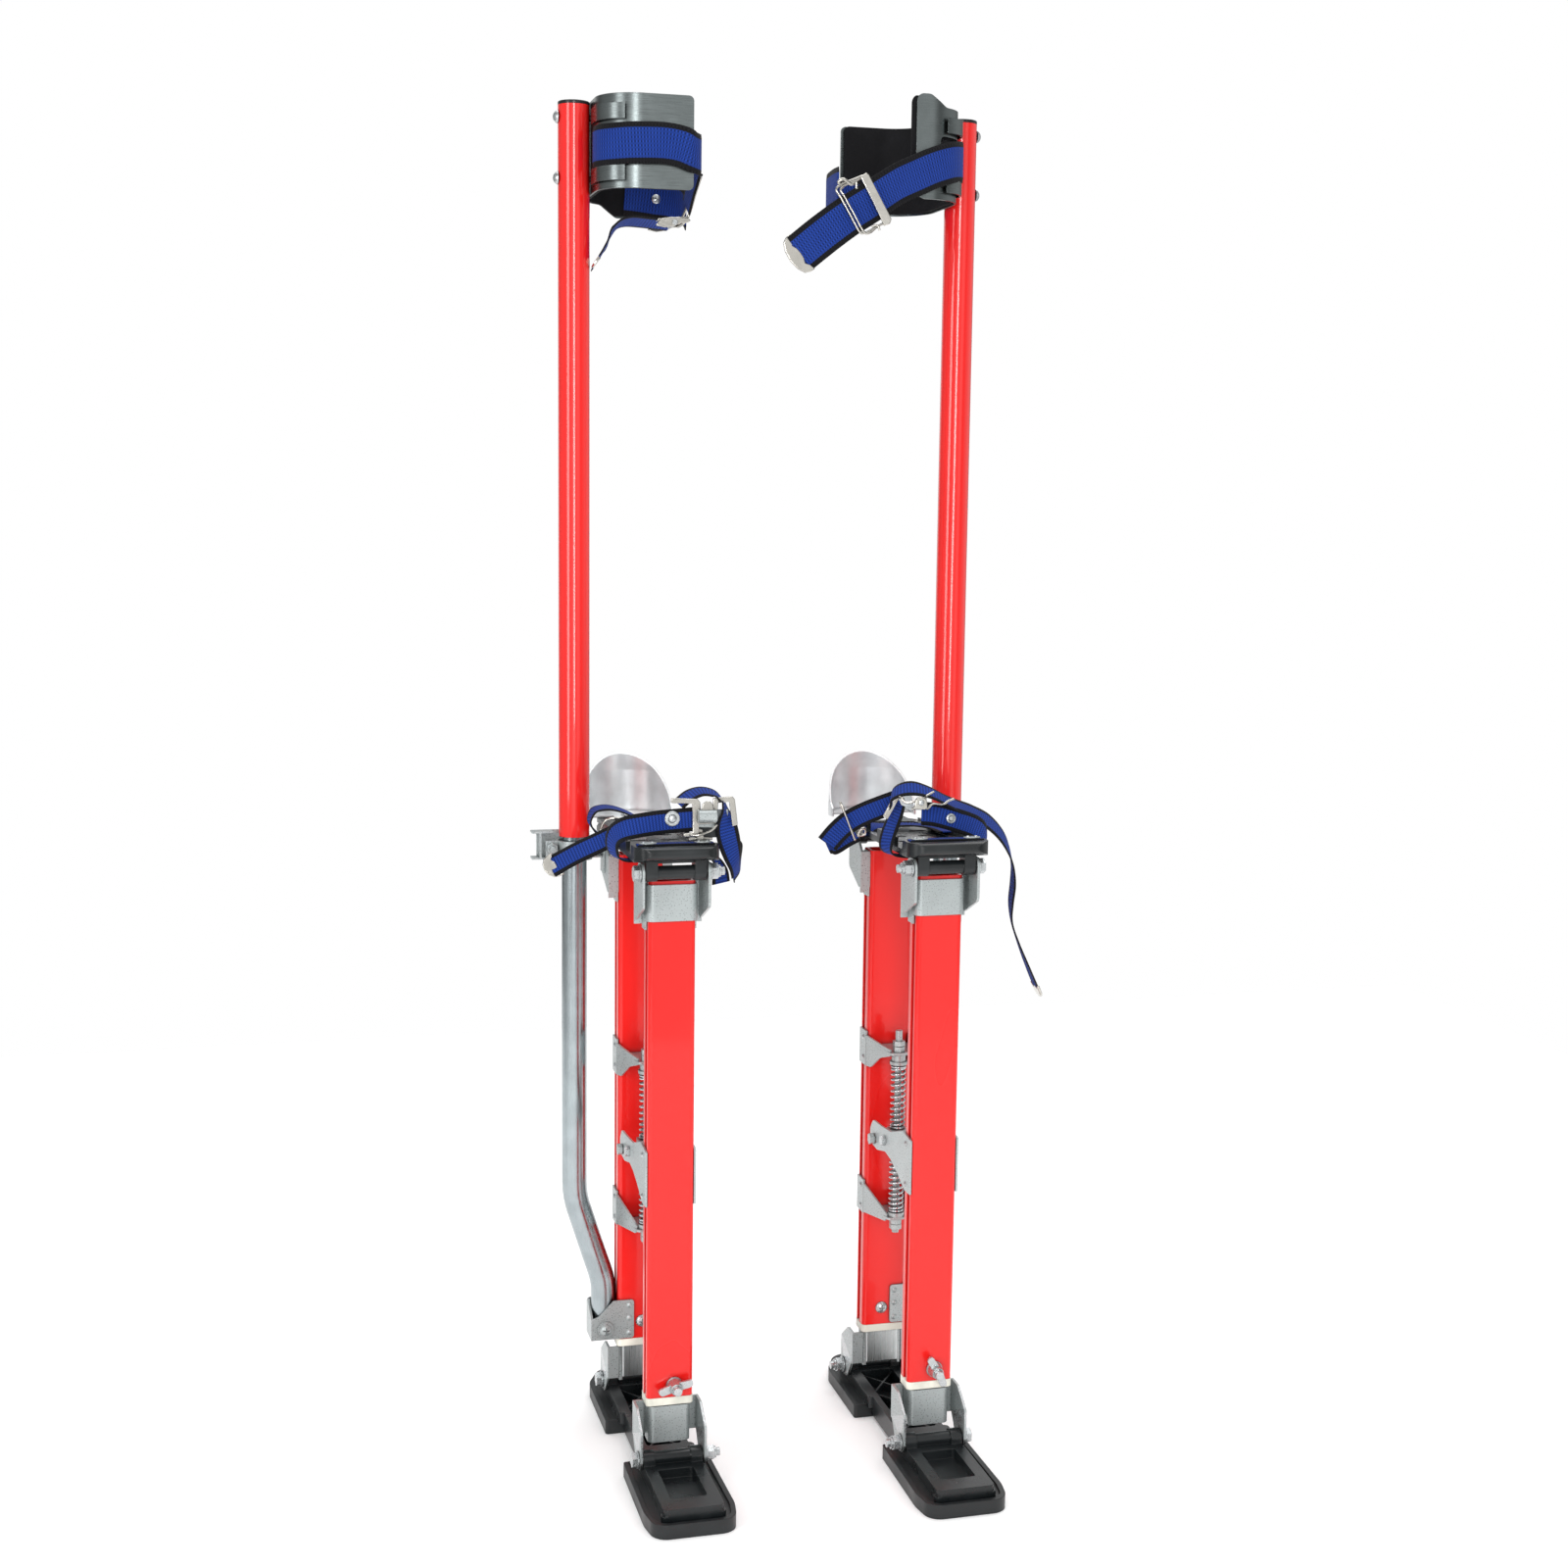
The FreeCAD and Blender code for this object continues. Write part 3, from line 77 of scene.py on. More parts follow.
# ---------------------------------------------------------------- material helpers
EVEN = (1, 1, 1)                              # texture scale along x, y and z
PATCH_STRETCH = (1, 1, 0.35)                  # patches drawn out a little upward
DRAWN_UPWARD = (1, 1, 0.01)                   # grain along an extrusion
DRAWN_AROUND = (0.03, 0.03, 1)                # grain round the calf band
RIB_PERIOD = 0.0030                           # webbing ribs, metres
WIDTH_THREADS = 10                            # thread groups across the webbing


class Finish:
    """A node material with one Principled shader and short calls for the textures that feed it."""

    def __init__(self, name, colour, roughness, metallic=0.0, **sockets):
        self.material = bpy.data.materials.new(name)
        self.material.use_nodes = True
        self.tree = self.material.node_tree
        self.shader = self.tree.nodes["Principled BSDF"]
        self.shader.inputs["Base Color"].default_value = (*colour, 1)
        self.shader.inputs["Roughness"].default_value = roughness
        self.shader.inputs["Metallic"].default_value = metallic
        for label, value in sockets.items():
            self.shader.inputs[label.replace("_", " ")].default_value = value

    def add(self, kind, **values):
        node = self.tree.nodes.new(kind)
        for label, value in values.items():
            setattr(node, label, value)
        return node

    def link(self, out, into):
        self.tree.links.new(out, into)

    def place(self, scale, source="Object"):
        """Surface position, stretched by scale along each axis."""
        coordinate = self.add("ShaderNodeTexCoord")
        mapping = self.add("ShaderNodeMapping")
        mapping.inputs["Scale"].default_value = scale
        self.link(coordinate.outputs[source], mapping.inputs["Vector"])
        return mapping.outputs["Vector"]

    def noise(self, vector, scale, detail=3.0):
        node = self.add("ShaderNodeTexNoise")
        node.inputs["Scale"].default_value = scale
        node.inputs["Detail"].default_value = detail
        self.link(vector, node.inputs["Vector"])
        return node.outputs["Fac"]

    def cells(self, vector, scale):
        node = self.add("ShaderNodeTexVoronoi")
        node.inputs["Scale"].default_value = scale
        self.link(vector, node.inputs["Vector"])
        return node.outputs["Distance"]

    def math(self, operation, first, second=None):
        node = self.add("ShaderNodeMath", operation=operation)
        for slot, value in ((0, first), (1, second)):
            if value is None:
                continue
            if isinstance(value, (int, float)):
                node.inputs[slot].default_value = value
            else:
                self.link(value, node.inputs[slot])
        return node.outputs["Value"]

    def ramp(self, factor, low, high, start=0.3, end=0.7):
        """Two colours, or two grey values, spread over a stretch of the factor."""
        node = self.add("ShaderNodeValToRGB")
        for element, value, place in zip(node.color_ramp.elements, (low, high), (start, end)):
            element.position = place
            element.color = (*value, 1) if isinstance(value, tuple) else (value, value, value, 1)
        self.link(factor, node.inputs["Fac"])
        return node.outputs["Color"]

    def mix(self, factor, first, second):
        node = self.add("ShaderNodeMix", data_type="RGBA")
        self.link(factor, node.inputs["Factor"])
        for slot, value in ((6, first), (7, second)):
            if isinstance(value, tuple):
                node.inputs[slot].default_value = (*value, 1)
            else:
                self.link(value, node.inputs[slot])
        return node.outputs[2]

    def painted_crease_shade(self, out, reach, deepest):
        """The colour darkened by painted shade in creases and under edges within the given reach."""
        # painted shade: an ambient occlusion reading darkens the colour where nearby parts would block light
        occlusion_share = self.add("ShaderNodeAmbientOcclusion", samples=6)
        occlusion_share.inputs["Distance"].default_value = reach
        node = self.add("ShaderNodeMix", data_type="RGBA", blend_type="MULTIPLY")
        node.inputs["Factor"].default_value = 1.0
        self.link(out, node.inputs[6])
        self.link(self.ramp(occlusion_share.outputs["AO"], deepest, 1.0, 0.25, 0.9), node.inputs[7])
        return node.outputs[2]

    def colour(self, out):
        self.link(out, self.shader.inputs["Base Color"])

    def roughness(self, factor, low, high, start=0.3, end=0.7):
        self.link(self.ramp(factor, low, high, start, end), self.shader.inputs["Roughness"])

    def bump(self, height, strength, depth, edge=0.0):
        """Surface relief, with corners rounded to the edge radius where one is given."""
        node = self.add("ShaderNodeBump")
        node.inputs["Strength"].default_value = strength
        node.inputs["Distance"].default_value = depth
        self.link(height, node.inputs["Height"])
        if edge:
            bevel = self.add("ShaderNodeBevel", samples=4)
            bevel.inputs["Radius"].default_value = edge
            self.link(bevel.outputs["Normal"], node.inputs["Normal"])
        self.link(node.outputs["Normal"], self.shader.inputs["Normal"])


def red_coat(name, gloss, peel_depth):
    """Gloss powder coat: even red, faint orange peel, a slightly deeper tone in broad patches, and painted
    shade in creases.
    """
    finish = Finish(name, (0.86, 0.012, 0.010), 0.32, Coat_Weight=gloss, Coat_Roughness=0.06,
                    Specular_IOR_Level=0.25)
    peel = finish.noise(finish.place(EVEN), 420, 2)
    patches = finish.noise(finish.place(PATCH_STRETCH), 9, 2)
    tone = finish.ramp(patches, (0.76, 0.009, 0.007), (0.83, 0.013, 0.010))
    # painted shade: the red is darkened in creases and grooves by an ambient occlusion reading
    finish.colour(finish.painted_crease_shade(tone, 0.006, 0.35))
    finish.roughness(patches, 0.26, 0.36)
    finish.bump(peel, peel_depth, 0.0004, edge=0.0006)
    return finish.material


def metal(name, colour, rough, stretch, grain, strength=0.08, edge=0.0005, metallic=1.0):
    """Bare metal whose grain is drawn out along the axes with small stretch values, with painted shade in
    creases.
    """
    finish = Finish(name, colour, rough, metallic=metallic)
    lines = finish.noise(finish.place(stretch), grain, 4)
    cloud = finish.noise(finish.place(EVEN), 60, 3)
    dark = tuple(c * 0.84 for c in colour)
    # painted shade: the metal colour is darkened in creases and under edges by an ambient occlusion reading
    finish.colour(finish.painted_crease_shade(finish.ramp(cloud, dark, colour), 0.004, 0.2))
    finish.roughness(lines, rough - 0.07, rough + 0.09)
    finish.bump(lines, strength, 0.0003, edge=edge)
    return finish.material


def zinc(name, colour, rough, metallic):
    """Zinc plating: fine spangle cells, cloudy brightness, rounded sheared edges and painted shade in
    creases.
    """
    finish = Finish(name, colour, rough, metallic=metallic)
    spangle = finish.cells(finish.place(EVEN), 520)
    cloud = finish.noise(finish.place(EVEN), 45, 4)
    tone = finish.mix(cloud, tuple(c * 0.74 for c in colour), colour)
    # painted shade: the zinc colour is darkened round rivets, in creases and under edges by an ambient
    # occlusion reading
    finish.colour(finish.painted_crease_shade(tone, 0.003, 0.3))
    finish.roughness(spangle, rough - 0.06, rough + 0.12, 0.1, 0.6)
    finish.bump(spangle, 0.07, 0.0004, edge=0.0006)
    return finish.material


def moulded(name, colour, rough, grain, strength, edge=0.0012, shine=0.45):
    """Moulded plastic or rubber with a stippled skin and paler rubbed patches."""
    finish = Finish(name, colour, rough, Specular_IOR_Level=shine)
    stipple = finish.noise(finish.place(EVEN), grain, 2)
    rubbed = finish.noise(finish.place(EVEN), 22, 5)
    finish.colour(finish.ramp(rubbed, colour, tuple(c * 1.9 + 0.004 for c in colour), 0.45, 0.75))
    finish.roughness(rubbed, rough - 0.1, rough + 0.08)
    finish.bump(stipple, strength, 0.0005, edge=edge)
    return finish.material


def webbing(name, edge_share, blue=(0.008, 0.031, 0.20)):
    """Woven webbing: blue ribs across the strap, darker gaps, black woven edges."""
    finish = Finish(name, blue, 0.8, Specular_IOR_Level=0.15, Sheen_Weight=0.03, Sheen_Roughness=0.5)
    coordinate = finish.add("ShaderNodeUVMap", uv_map="weave")
    split = finish.add("ShaderNodeSeparateXYZ")
    finish.link(coordinate.outputs["UV"], split.inputs["Vector"])
    across, along = split.outputs["X"], split.outputs["Y"]
    ribs = finish.math("SINE", finish.math("MULTIPLY", along, 2 * math.pi / RIB_PERIOD))
    share = finish.math("ABSOLUTE", finish.math("SUBTRACT", across, 0.5))
    width_threads = finish.math("SINE", finish.math("MULTIPLY", across, 2 * math.pi * WIDTH_THREADS))
    weave = finish.math("ADD", finish.math("MULTIPLY", finish.math("MULTIPLY", ribs, width_threads), 0.35),
                        finish.math("MULTIPLY", ribs, 0.3))
    weave = finish.math("ADD", weave, 0.5)
    wear = finish.noise(finish.place(EVEN), 70, 3)
    lit = finish.mix(weave, tuple(c * 0.12 for c in blue), tuple(min(1, c * 1.8) for c in blue))
    lit = finish.mix(finish.math("MULTIPLY", wear, 0.25), lit, (0.022, 0.065, 0.34))
    black = finish.mix(weave, (0.003, 0.003, 0.004), (0.010, 0.010, 0.012))
    edge = finish.math("GREATER_THAN", finish.math("ADD", share, finish.math("MULTIPLY", ribs, 0.006)),
                       0.5 - edge_share)
    finish.colour(finish.mix(edge, lit, black))
    finish.bump(weave, 0.55, 0.0005)
    return finish.material


MATERIALS = {
    "red_paint": red_coat("red_powder_coat", 0.5, 0.04),
    "red_tube": red_coat("red_tube_coat", 1.0, 0.008),
    "black_plastic": moulded("black_plastic", (0.007, 0.009, 0.010), 0.3, 700, 0.10),
    "rubber": moulded("black_rubber", (0.007, 0.009, 0.010), 0.44, 500, 0.2),
    "black_lining": moulded("lining_foam", (0.005, 0.005, 0.006), 0.7, 900, 0.25, edge=0.002, shine=0.15),
    "white_nylon": moulded("white_nylon", (0.72, 0.71, 0.62), 0.45, 300, 0.05),
    "zinc_hardware": zinc("zinc_hardware", (0.62, 0.65, 0.66), 0.22, 0.85),
    "steel_bracket": zinc("zinc_bracket", (0.50, 0.545, 0.545), 0.28, 0.6),
    "aluminium": metal("extruded_aluminium", (0.62, 0.65, 0.65), 0.3, DRAWN_UPWARD, 2400, 0.03),
    "aluminium_tube": metal("drawn_tube", (0.42, 0.47, 0.49), 0.24, DRAWN_UPWARD, 700, 0.02),
    "aluminium_cup": metal("stamped_cup", (0.88, 0.91, 0.92), 0.36, EVEN, 20, 0.04, 0.001, metallic=0.8),
    "aluminium_band": metal("brushed_band", (0.19, 0.215, 0.215), 0.3, DRAWN_AROUND, 1500, 0.03),
    "spring_wire": metal("spring_wire", (0.70, 0.73, 0.75), 0.2, EVEN, 800, 0.05),
    "buckle_steel": metal("nickel_plate", (0.62, 0.60, 0.55), 0.2, EVEN, 300, 0.06),
}
WEBBING = {"foot": webbing("foot_webbing", 0.17), "calf": webbing("calf_webbing", 0.135)}
MATERIALS["webbing"] = WEBBING["foot"]


def smooth_by_angle(mesh, degrees=32):
    mesh.polygons.foreach_set("use_smooth", [True] * len(mesh.polygons))
    mesh.set_sharp_from_angle(angle=math.radians(degrees))


for part in frame["record"]["subparts"]:
    node = NODES[part["node"]]
    node.data.materials.clear()
    node.data.materials.append(MATERIALS[part["material_slot"]])
    smooth_by_angle(node.data)


FAR = 900.0                                   # a half size that no face lies outside of
LEG_HALF = (18.51, 9.51)                      # a hair more than the bare inner leg
BRACKET_FACE = 11.6                           # a hair beyond the ankle bracket's front and rear faces
FLANGE_FACE = 24.55                           # a hair beyond the side flanges of the strut brackets
BAND_BOLT_FACE = 78.5                         # where the heads of the calf band's bolts begin
ANKLE_BRACKET = (30.0, 74.5)                  # heights, here and in the next four lines
ANKLE_RIVETS = ((41.5, 49.9), (60.5, 68.4))
BAND_BOLTS = (1200.0, 1320.0)
SPRING_BRACKETS = (195.0, 400.0)
ARM_PLATES = (270.0, 330.0)


def refinish(node, slot, centre, half, heights):
    """Gives a second finish to a node's faces outside a box round centre, between two heights."""
    part = NODES[node]
    part.data.materials.append(MATERIALS[slot])
    index = len(part.data.materials) - 1
    for face in part.data.polygons:
        spot = part.matrix_world @ face.center
        outside = abs(spot.x - centre.x) > half[0] * MM or abs(spot.y - centre.y) > half[1] * MM
        if outside and heights[0] * MM < spot.z < heights[1] * MM:
            face.material_index = index


for tag in SIDES:
    for end in ("front", "rear"):
        leg, axis = f"{tag}_{end}_inner_leg", middle(f"{tag}_{end}_outer_strut")
        refinish(leg, "steel_bracket", axis, LEG_HALF, ANKLE_BRACKET)
        for rivet in ANKLE_RIVETS:
            refinish(leg, "zinc_hardware", axis, (FAR, BRACKET_FACE), rivet)
    centre = at(tag, 0, 0, 0)
    refinish(f"{tag}_calf_band", "zinc_hardware", centre, (BAND_BOLT_FACE, FAR), BAND_BOLTS)
    refinish(f"{tag}_spring_carrier", "zinc_hardware", centre, (FLANGE_FACE, FAR), SPRING_BRACKETS)
    refinish(f"{tag}_front_brackets", "zinc_hardware", centre, (FLANGE_FACE, FAR), ARM_PLATES)


# ---------------------------------------------------------------- mesh helpers
def to_object(name, mesh, material, body, stands_for=()):
    obj = bpy.data.objects.new(name, mesh)
    bpy.context.scene.collection.objects.link(obj)
    mesh.materials.append(material)
    if stands_for:
        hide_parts(*stands_for)
    if body:
        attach(obj, body)
    return obj


def soften(obj, width, segments=2):
    bevel = obj.modifiers.new("soft_edges", "BEVEL")
    bevel.width = width
    bevel.segments = segments
    bevel.limit_method = "ANGLE"
    bevel.angle_limit = math.radians(40)
    return obj


def smooth_path(points, steps):
    """Points along a smooth curve through the given ones."""
    out = []
    last = len(points) - 1
    for i in range(last):
        p0, p1, p2, p3 = (points[max(i - 1, 0)], points[i], points[i + 1], points[min(i + 2, last)])
        for k in range(steps):
            t = k / steps
            out.append(0.5 * ((2 * p1) + (p2 - p0) * t + (2 * p0 - 5 * p1 + 4 * p2 - p3) * t * t
                              + (3 * p1 - p0 - 3 * p2 + p3) * t ** 3))
    out.append(points[-1].copy())
    return out


def band_mesh(name, points, ups, width, thick, steps=8, lanes=8, crown=0.0):
    """A flat band swept along a curve; UV x runs across it from 0 to 1 and y along it in metres."""
    line = smooth_path(points, steps)
    lifts = smooth_path(ups, steps)
    mesh = bpy.data.meshes.new(name)
    form = bmesh.new()
    layer = form.loops.layers.uv.new("weave")
    rings, travelled = [], 0.0
    for i, point in enumerate(line):
        ahead = (line[min(i + 1, len(line) - 1)] - line[max(i - 1, 0)]).normalized()
        up = (lifts[i] - ahead * lifts[i].dot(ahead)).normalized()
        out = ahead.cross(up)
        if i:
            travelled += (point - line[i - 1]).length
        ring = []
        for face in (1, -1):
            for k in range(lanes + 1):
                share = k / lanes if face > 0 else 1 - k / lanes
                edge = min(share, 1 - share) * lanes
                swell = min(1.0, 0.45 + 0.55 * edge)
                lift = face * thick / 2 * swell + crown * (0.25 - (share - 0.5) ** 2)
                ring.append((form.verts.new(point + up * ((share - 0.5) * width) + out * lift), share))
        rings.append((ring, travelled))
    count = len(rings[0][0])
    for (ring, start), (after, end) in zip(rings, rings[1:]):
        for k in range(count):
            n = (k + 1) % count
            face = form.faces.new((ring[k][0], ring[n][0], after[n][0], after[k][0]))
            for loop, (u, v) in zip(face.loops, ((ring[k][1], start), (ring[n][1], start),
                                                 (after[n][1], end), (after[k][1], end))):
                loop[layer].uv = (u, v)
    for ring, place in (rings[0], rings[-1]):
        face = form.faces.new([v for v, _ in ring])
        for loop, (_, share) in zip(face.loops, ring):
            loop[layer].uv = (share, place)
    bmesh.ops.recalc_face_normals(form, faces=form.faces)
    form.to_mesh(mesh)
    form.free()
    mesh.polygons.foreach_set("use_smooth", [True] * len(mesh.polygons))
    return mesh


def solid_mesh(name, parts, bevel=0.0):
    """Mesh from bmesh building calls; each part is a function that adds to the bmesh."""
    mesh = bpy.data.meshes.new(name)
    form = bmesh.new()
    for part in parts:
        part(form)
    if bevel:
        sharp = [e for e in form.edges if e.is_manifold and e.calc_face_angle(0) > math.radians(50)]
        bmesh.ops.bevel(form, geom=sharp, offset=bevel, segments=2, affect="EDGES", clamp_overlap=True)
    bmesh.ops.recalc_face_normals(form, faces=form.faces)
    form.to_mesh(mesh)
    form.free()
    smooth_by_angle(mesh, 35)
    return mesh


def compass(side, other, sides):
    """Unit directions spaced evenly round the plane of side and other."""
    turns = [2 * math.pi * k / sides for k in range(sides)]
    return [side * math.cos(a) + other * math.sin(a) for a in turns]


def turned(start, direction, profile, sides=32):
    """A round part: (distance along direction, radius) pairs turned about the axis from start."""
    def build(form):
        axis = direction.normalized()
        side = axis.orthogonal().normalized()
        other = axis.cross(side)
        rings = []
        for distance, radius in profile:
            centre = start + axis * distance * MM
            rings.append([form.verts.new(centre + way * radius * MM) for way in compass(side, other, sides)])
        for ring, after in zip(rings, rings[1:]):
            for k in range(sides):
                form.faces.new((ring[k], ring[(k + 1) % sides], after[(k + 1) % sides], after[k]))
        form.faces.new(rings[0])
        form.faces.new(rings[-1])
    return build


def wire_mesh(name, points, radius, closed=False, sides=12):
    """Round wire along a polyline of points."""
    mesh = bpy.data.meshes.new(name)
    form = bmesh.new()
    rings = []
    total = len(points)
    side = None
    for i, point in enumerate(points):
        before = points[i - 1] if (i or closed) else point
        after = points[(i + 1) % total] if (i + 1 < total or closed) else point
        ahead = (after - before).normalized()
        if side is None:
            side = ahead.orthogonal().normalized()
        side = (side - ahead * side.dot(ahead)).normalized()
        other = ahead.cross(side)
        rings.append([form.verts.new(point + way * radius) for way in compass(side, other, sides)])
    pairs = list(zip(rings, rings[1:]))
    for ring, after in pairs:
        for k in range(sides):
            form.faces.new((ring[k], ring[(k + 1) % sides], after[(k + 1) % sides], after[k]))
    if closed:
        first, last = rings[0], rings[-1]
        turn = min(range(sides), key=lambda s: (first[s].co - last[0].co).length)
        for k in range(sides):
            near, far = first[(k + turn) % sides], first[(k + 1 + turn) % sides]
            form.faces.new((last[k], last[(k + 1) % sides], far, near))
    else:
        form.faces.new(rings[0])
        form.faces.new(rings[-1])
    bmesh.ops.recalc_face_normals(form, faces=form.faces)
    form.to_mesh(mesh)
    form.free()
    mesh.polygons.foreach_set("use_smooth", [True] * len(mesh.polygons))
    return mesh


def plate(points, thick, origin, u, v):
    """A flat plate: outline in millimetres in the (u, v) plane at origin, thickened both ways."""
    def build(form):
        across, upward = u.normalized(), v.normalized()
        normal = across.cross(upward)
        rings = []
        for side in (-1, 1):
            lift = normal * side * thick / 2
            spots = [origin + (across * p[0] + upward * p[1] + lift) * MM for p in points]
            rings.append([form.verts.new(spot) for spot in spots])
        form.faces.new(rings[0])
        form.faces.new(rings[1])
        for k in range(len(points)):
            n = (k + 1) % len(points)
            form.faces.new((rings[0][k], rings[0][n], rings[1][n], rings[1][k]))
    return build


# ---------------------------------------------------------------- springs
COILS = 11.0                                  # open turns
CLOSED_TURNS = 1.1                            # flat turns at each end
TURN_STEPS = 26
WIRE = 1.25 * MM                              # wire radius


def spring(tag, which):
    """Closed-end compression spring on the rod, drawn as one fixed coil in the box of the spring part it
    replaces.
    """
    node = f"{tag}_spring_{which}"
    low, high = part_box(node)
    centre = (low + high) / 2
    radius = (high.x - low.x) / 2 - WIRE
    bottom, top = low.z + WIRE * 1.6, high.z - WIRE * 1.6
    points = []
    total = COILS + 2 * CLOSED_TURNS
    for i in range(int(total * TURN_STEPS) + 1):
        turn = i / TURN_STEPS
        if turn < CLOSED_TURNS:
            rise = 0.0
        elif turn > total - CLOSED_TURNS:
            rise = 1.0
        else:
            rise = (turn - CLOSED_TURNS) / (total - 2 * CLOSED_TURNS)
            rise = rise - math.sin(2 * math.pi * rise) / (2 * math.pi) * 0.1
        squeeze = WIRE * 2 * (min(turn, CLOSED_TURNS) / CLOSED_TURNS - 1) * 0.3
        angle = 2 * math.pi * turn
        points.append(Vector((centre.x + radius * math.cos(angle), centre.y + radius * math.sin(angle),
                              bottom + (top - bottom) * rise + squeeze)))
    mesh = wire_mesh(node + "_coil", points, WIRE, sides=10)
    obj = to_object(node + "_coil", mesh, MATERIALS["spring_wire"], None, [node])
    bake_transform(obj)


# ---------------------------------------------------------------- webbing
UP = (0, 0, 1)
BACK = (0, 1, 0)
FOOT_WIDTH, CALF_WIDTH, DECK_WIDTH, THICK = 22.5, 38, 12.0, 1.6
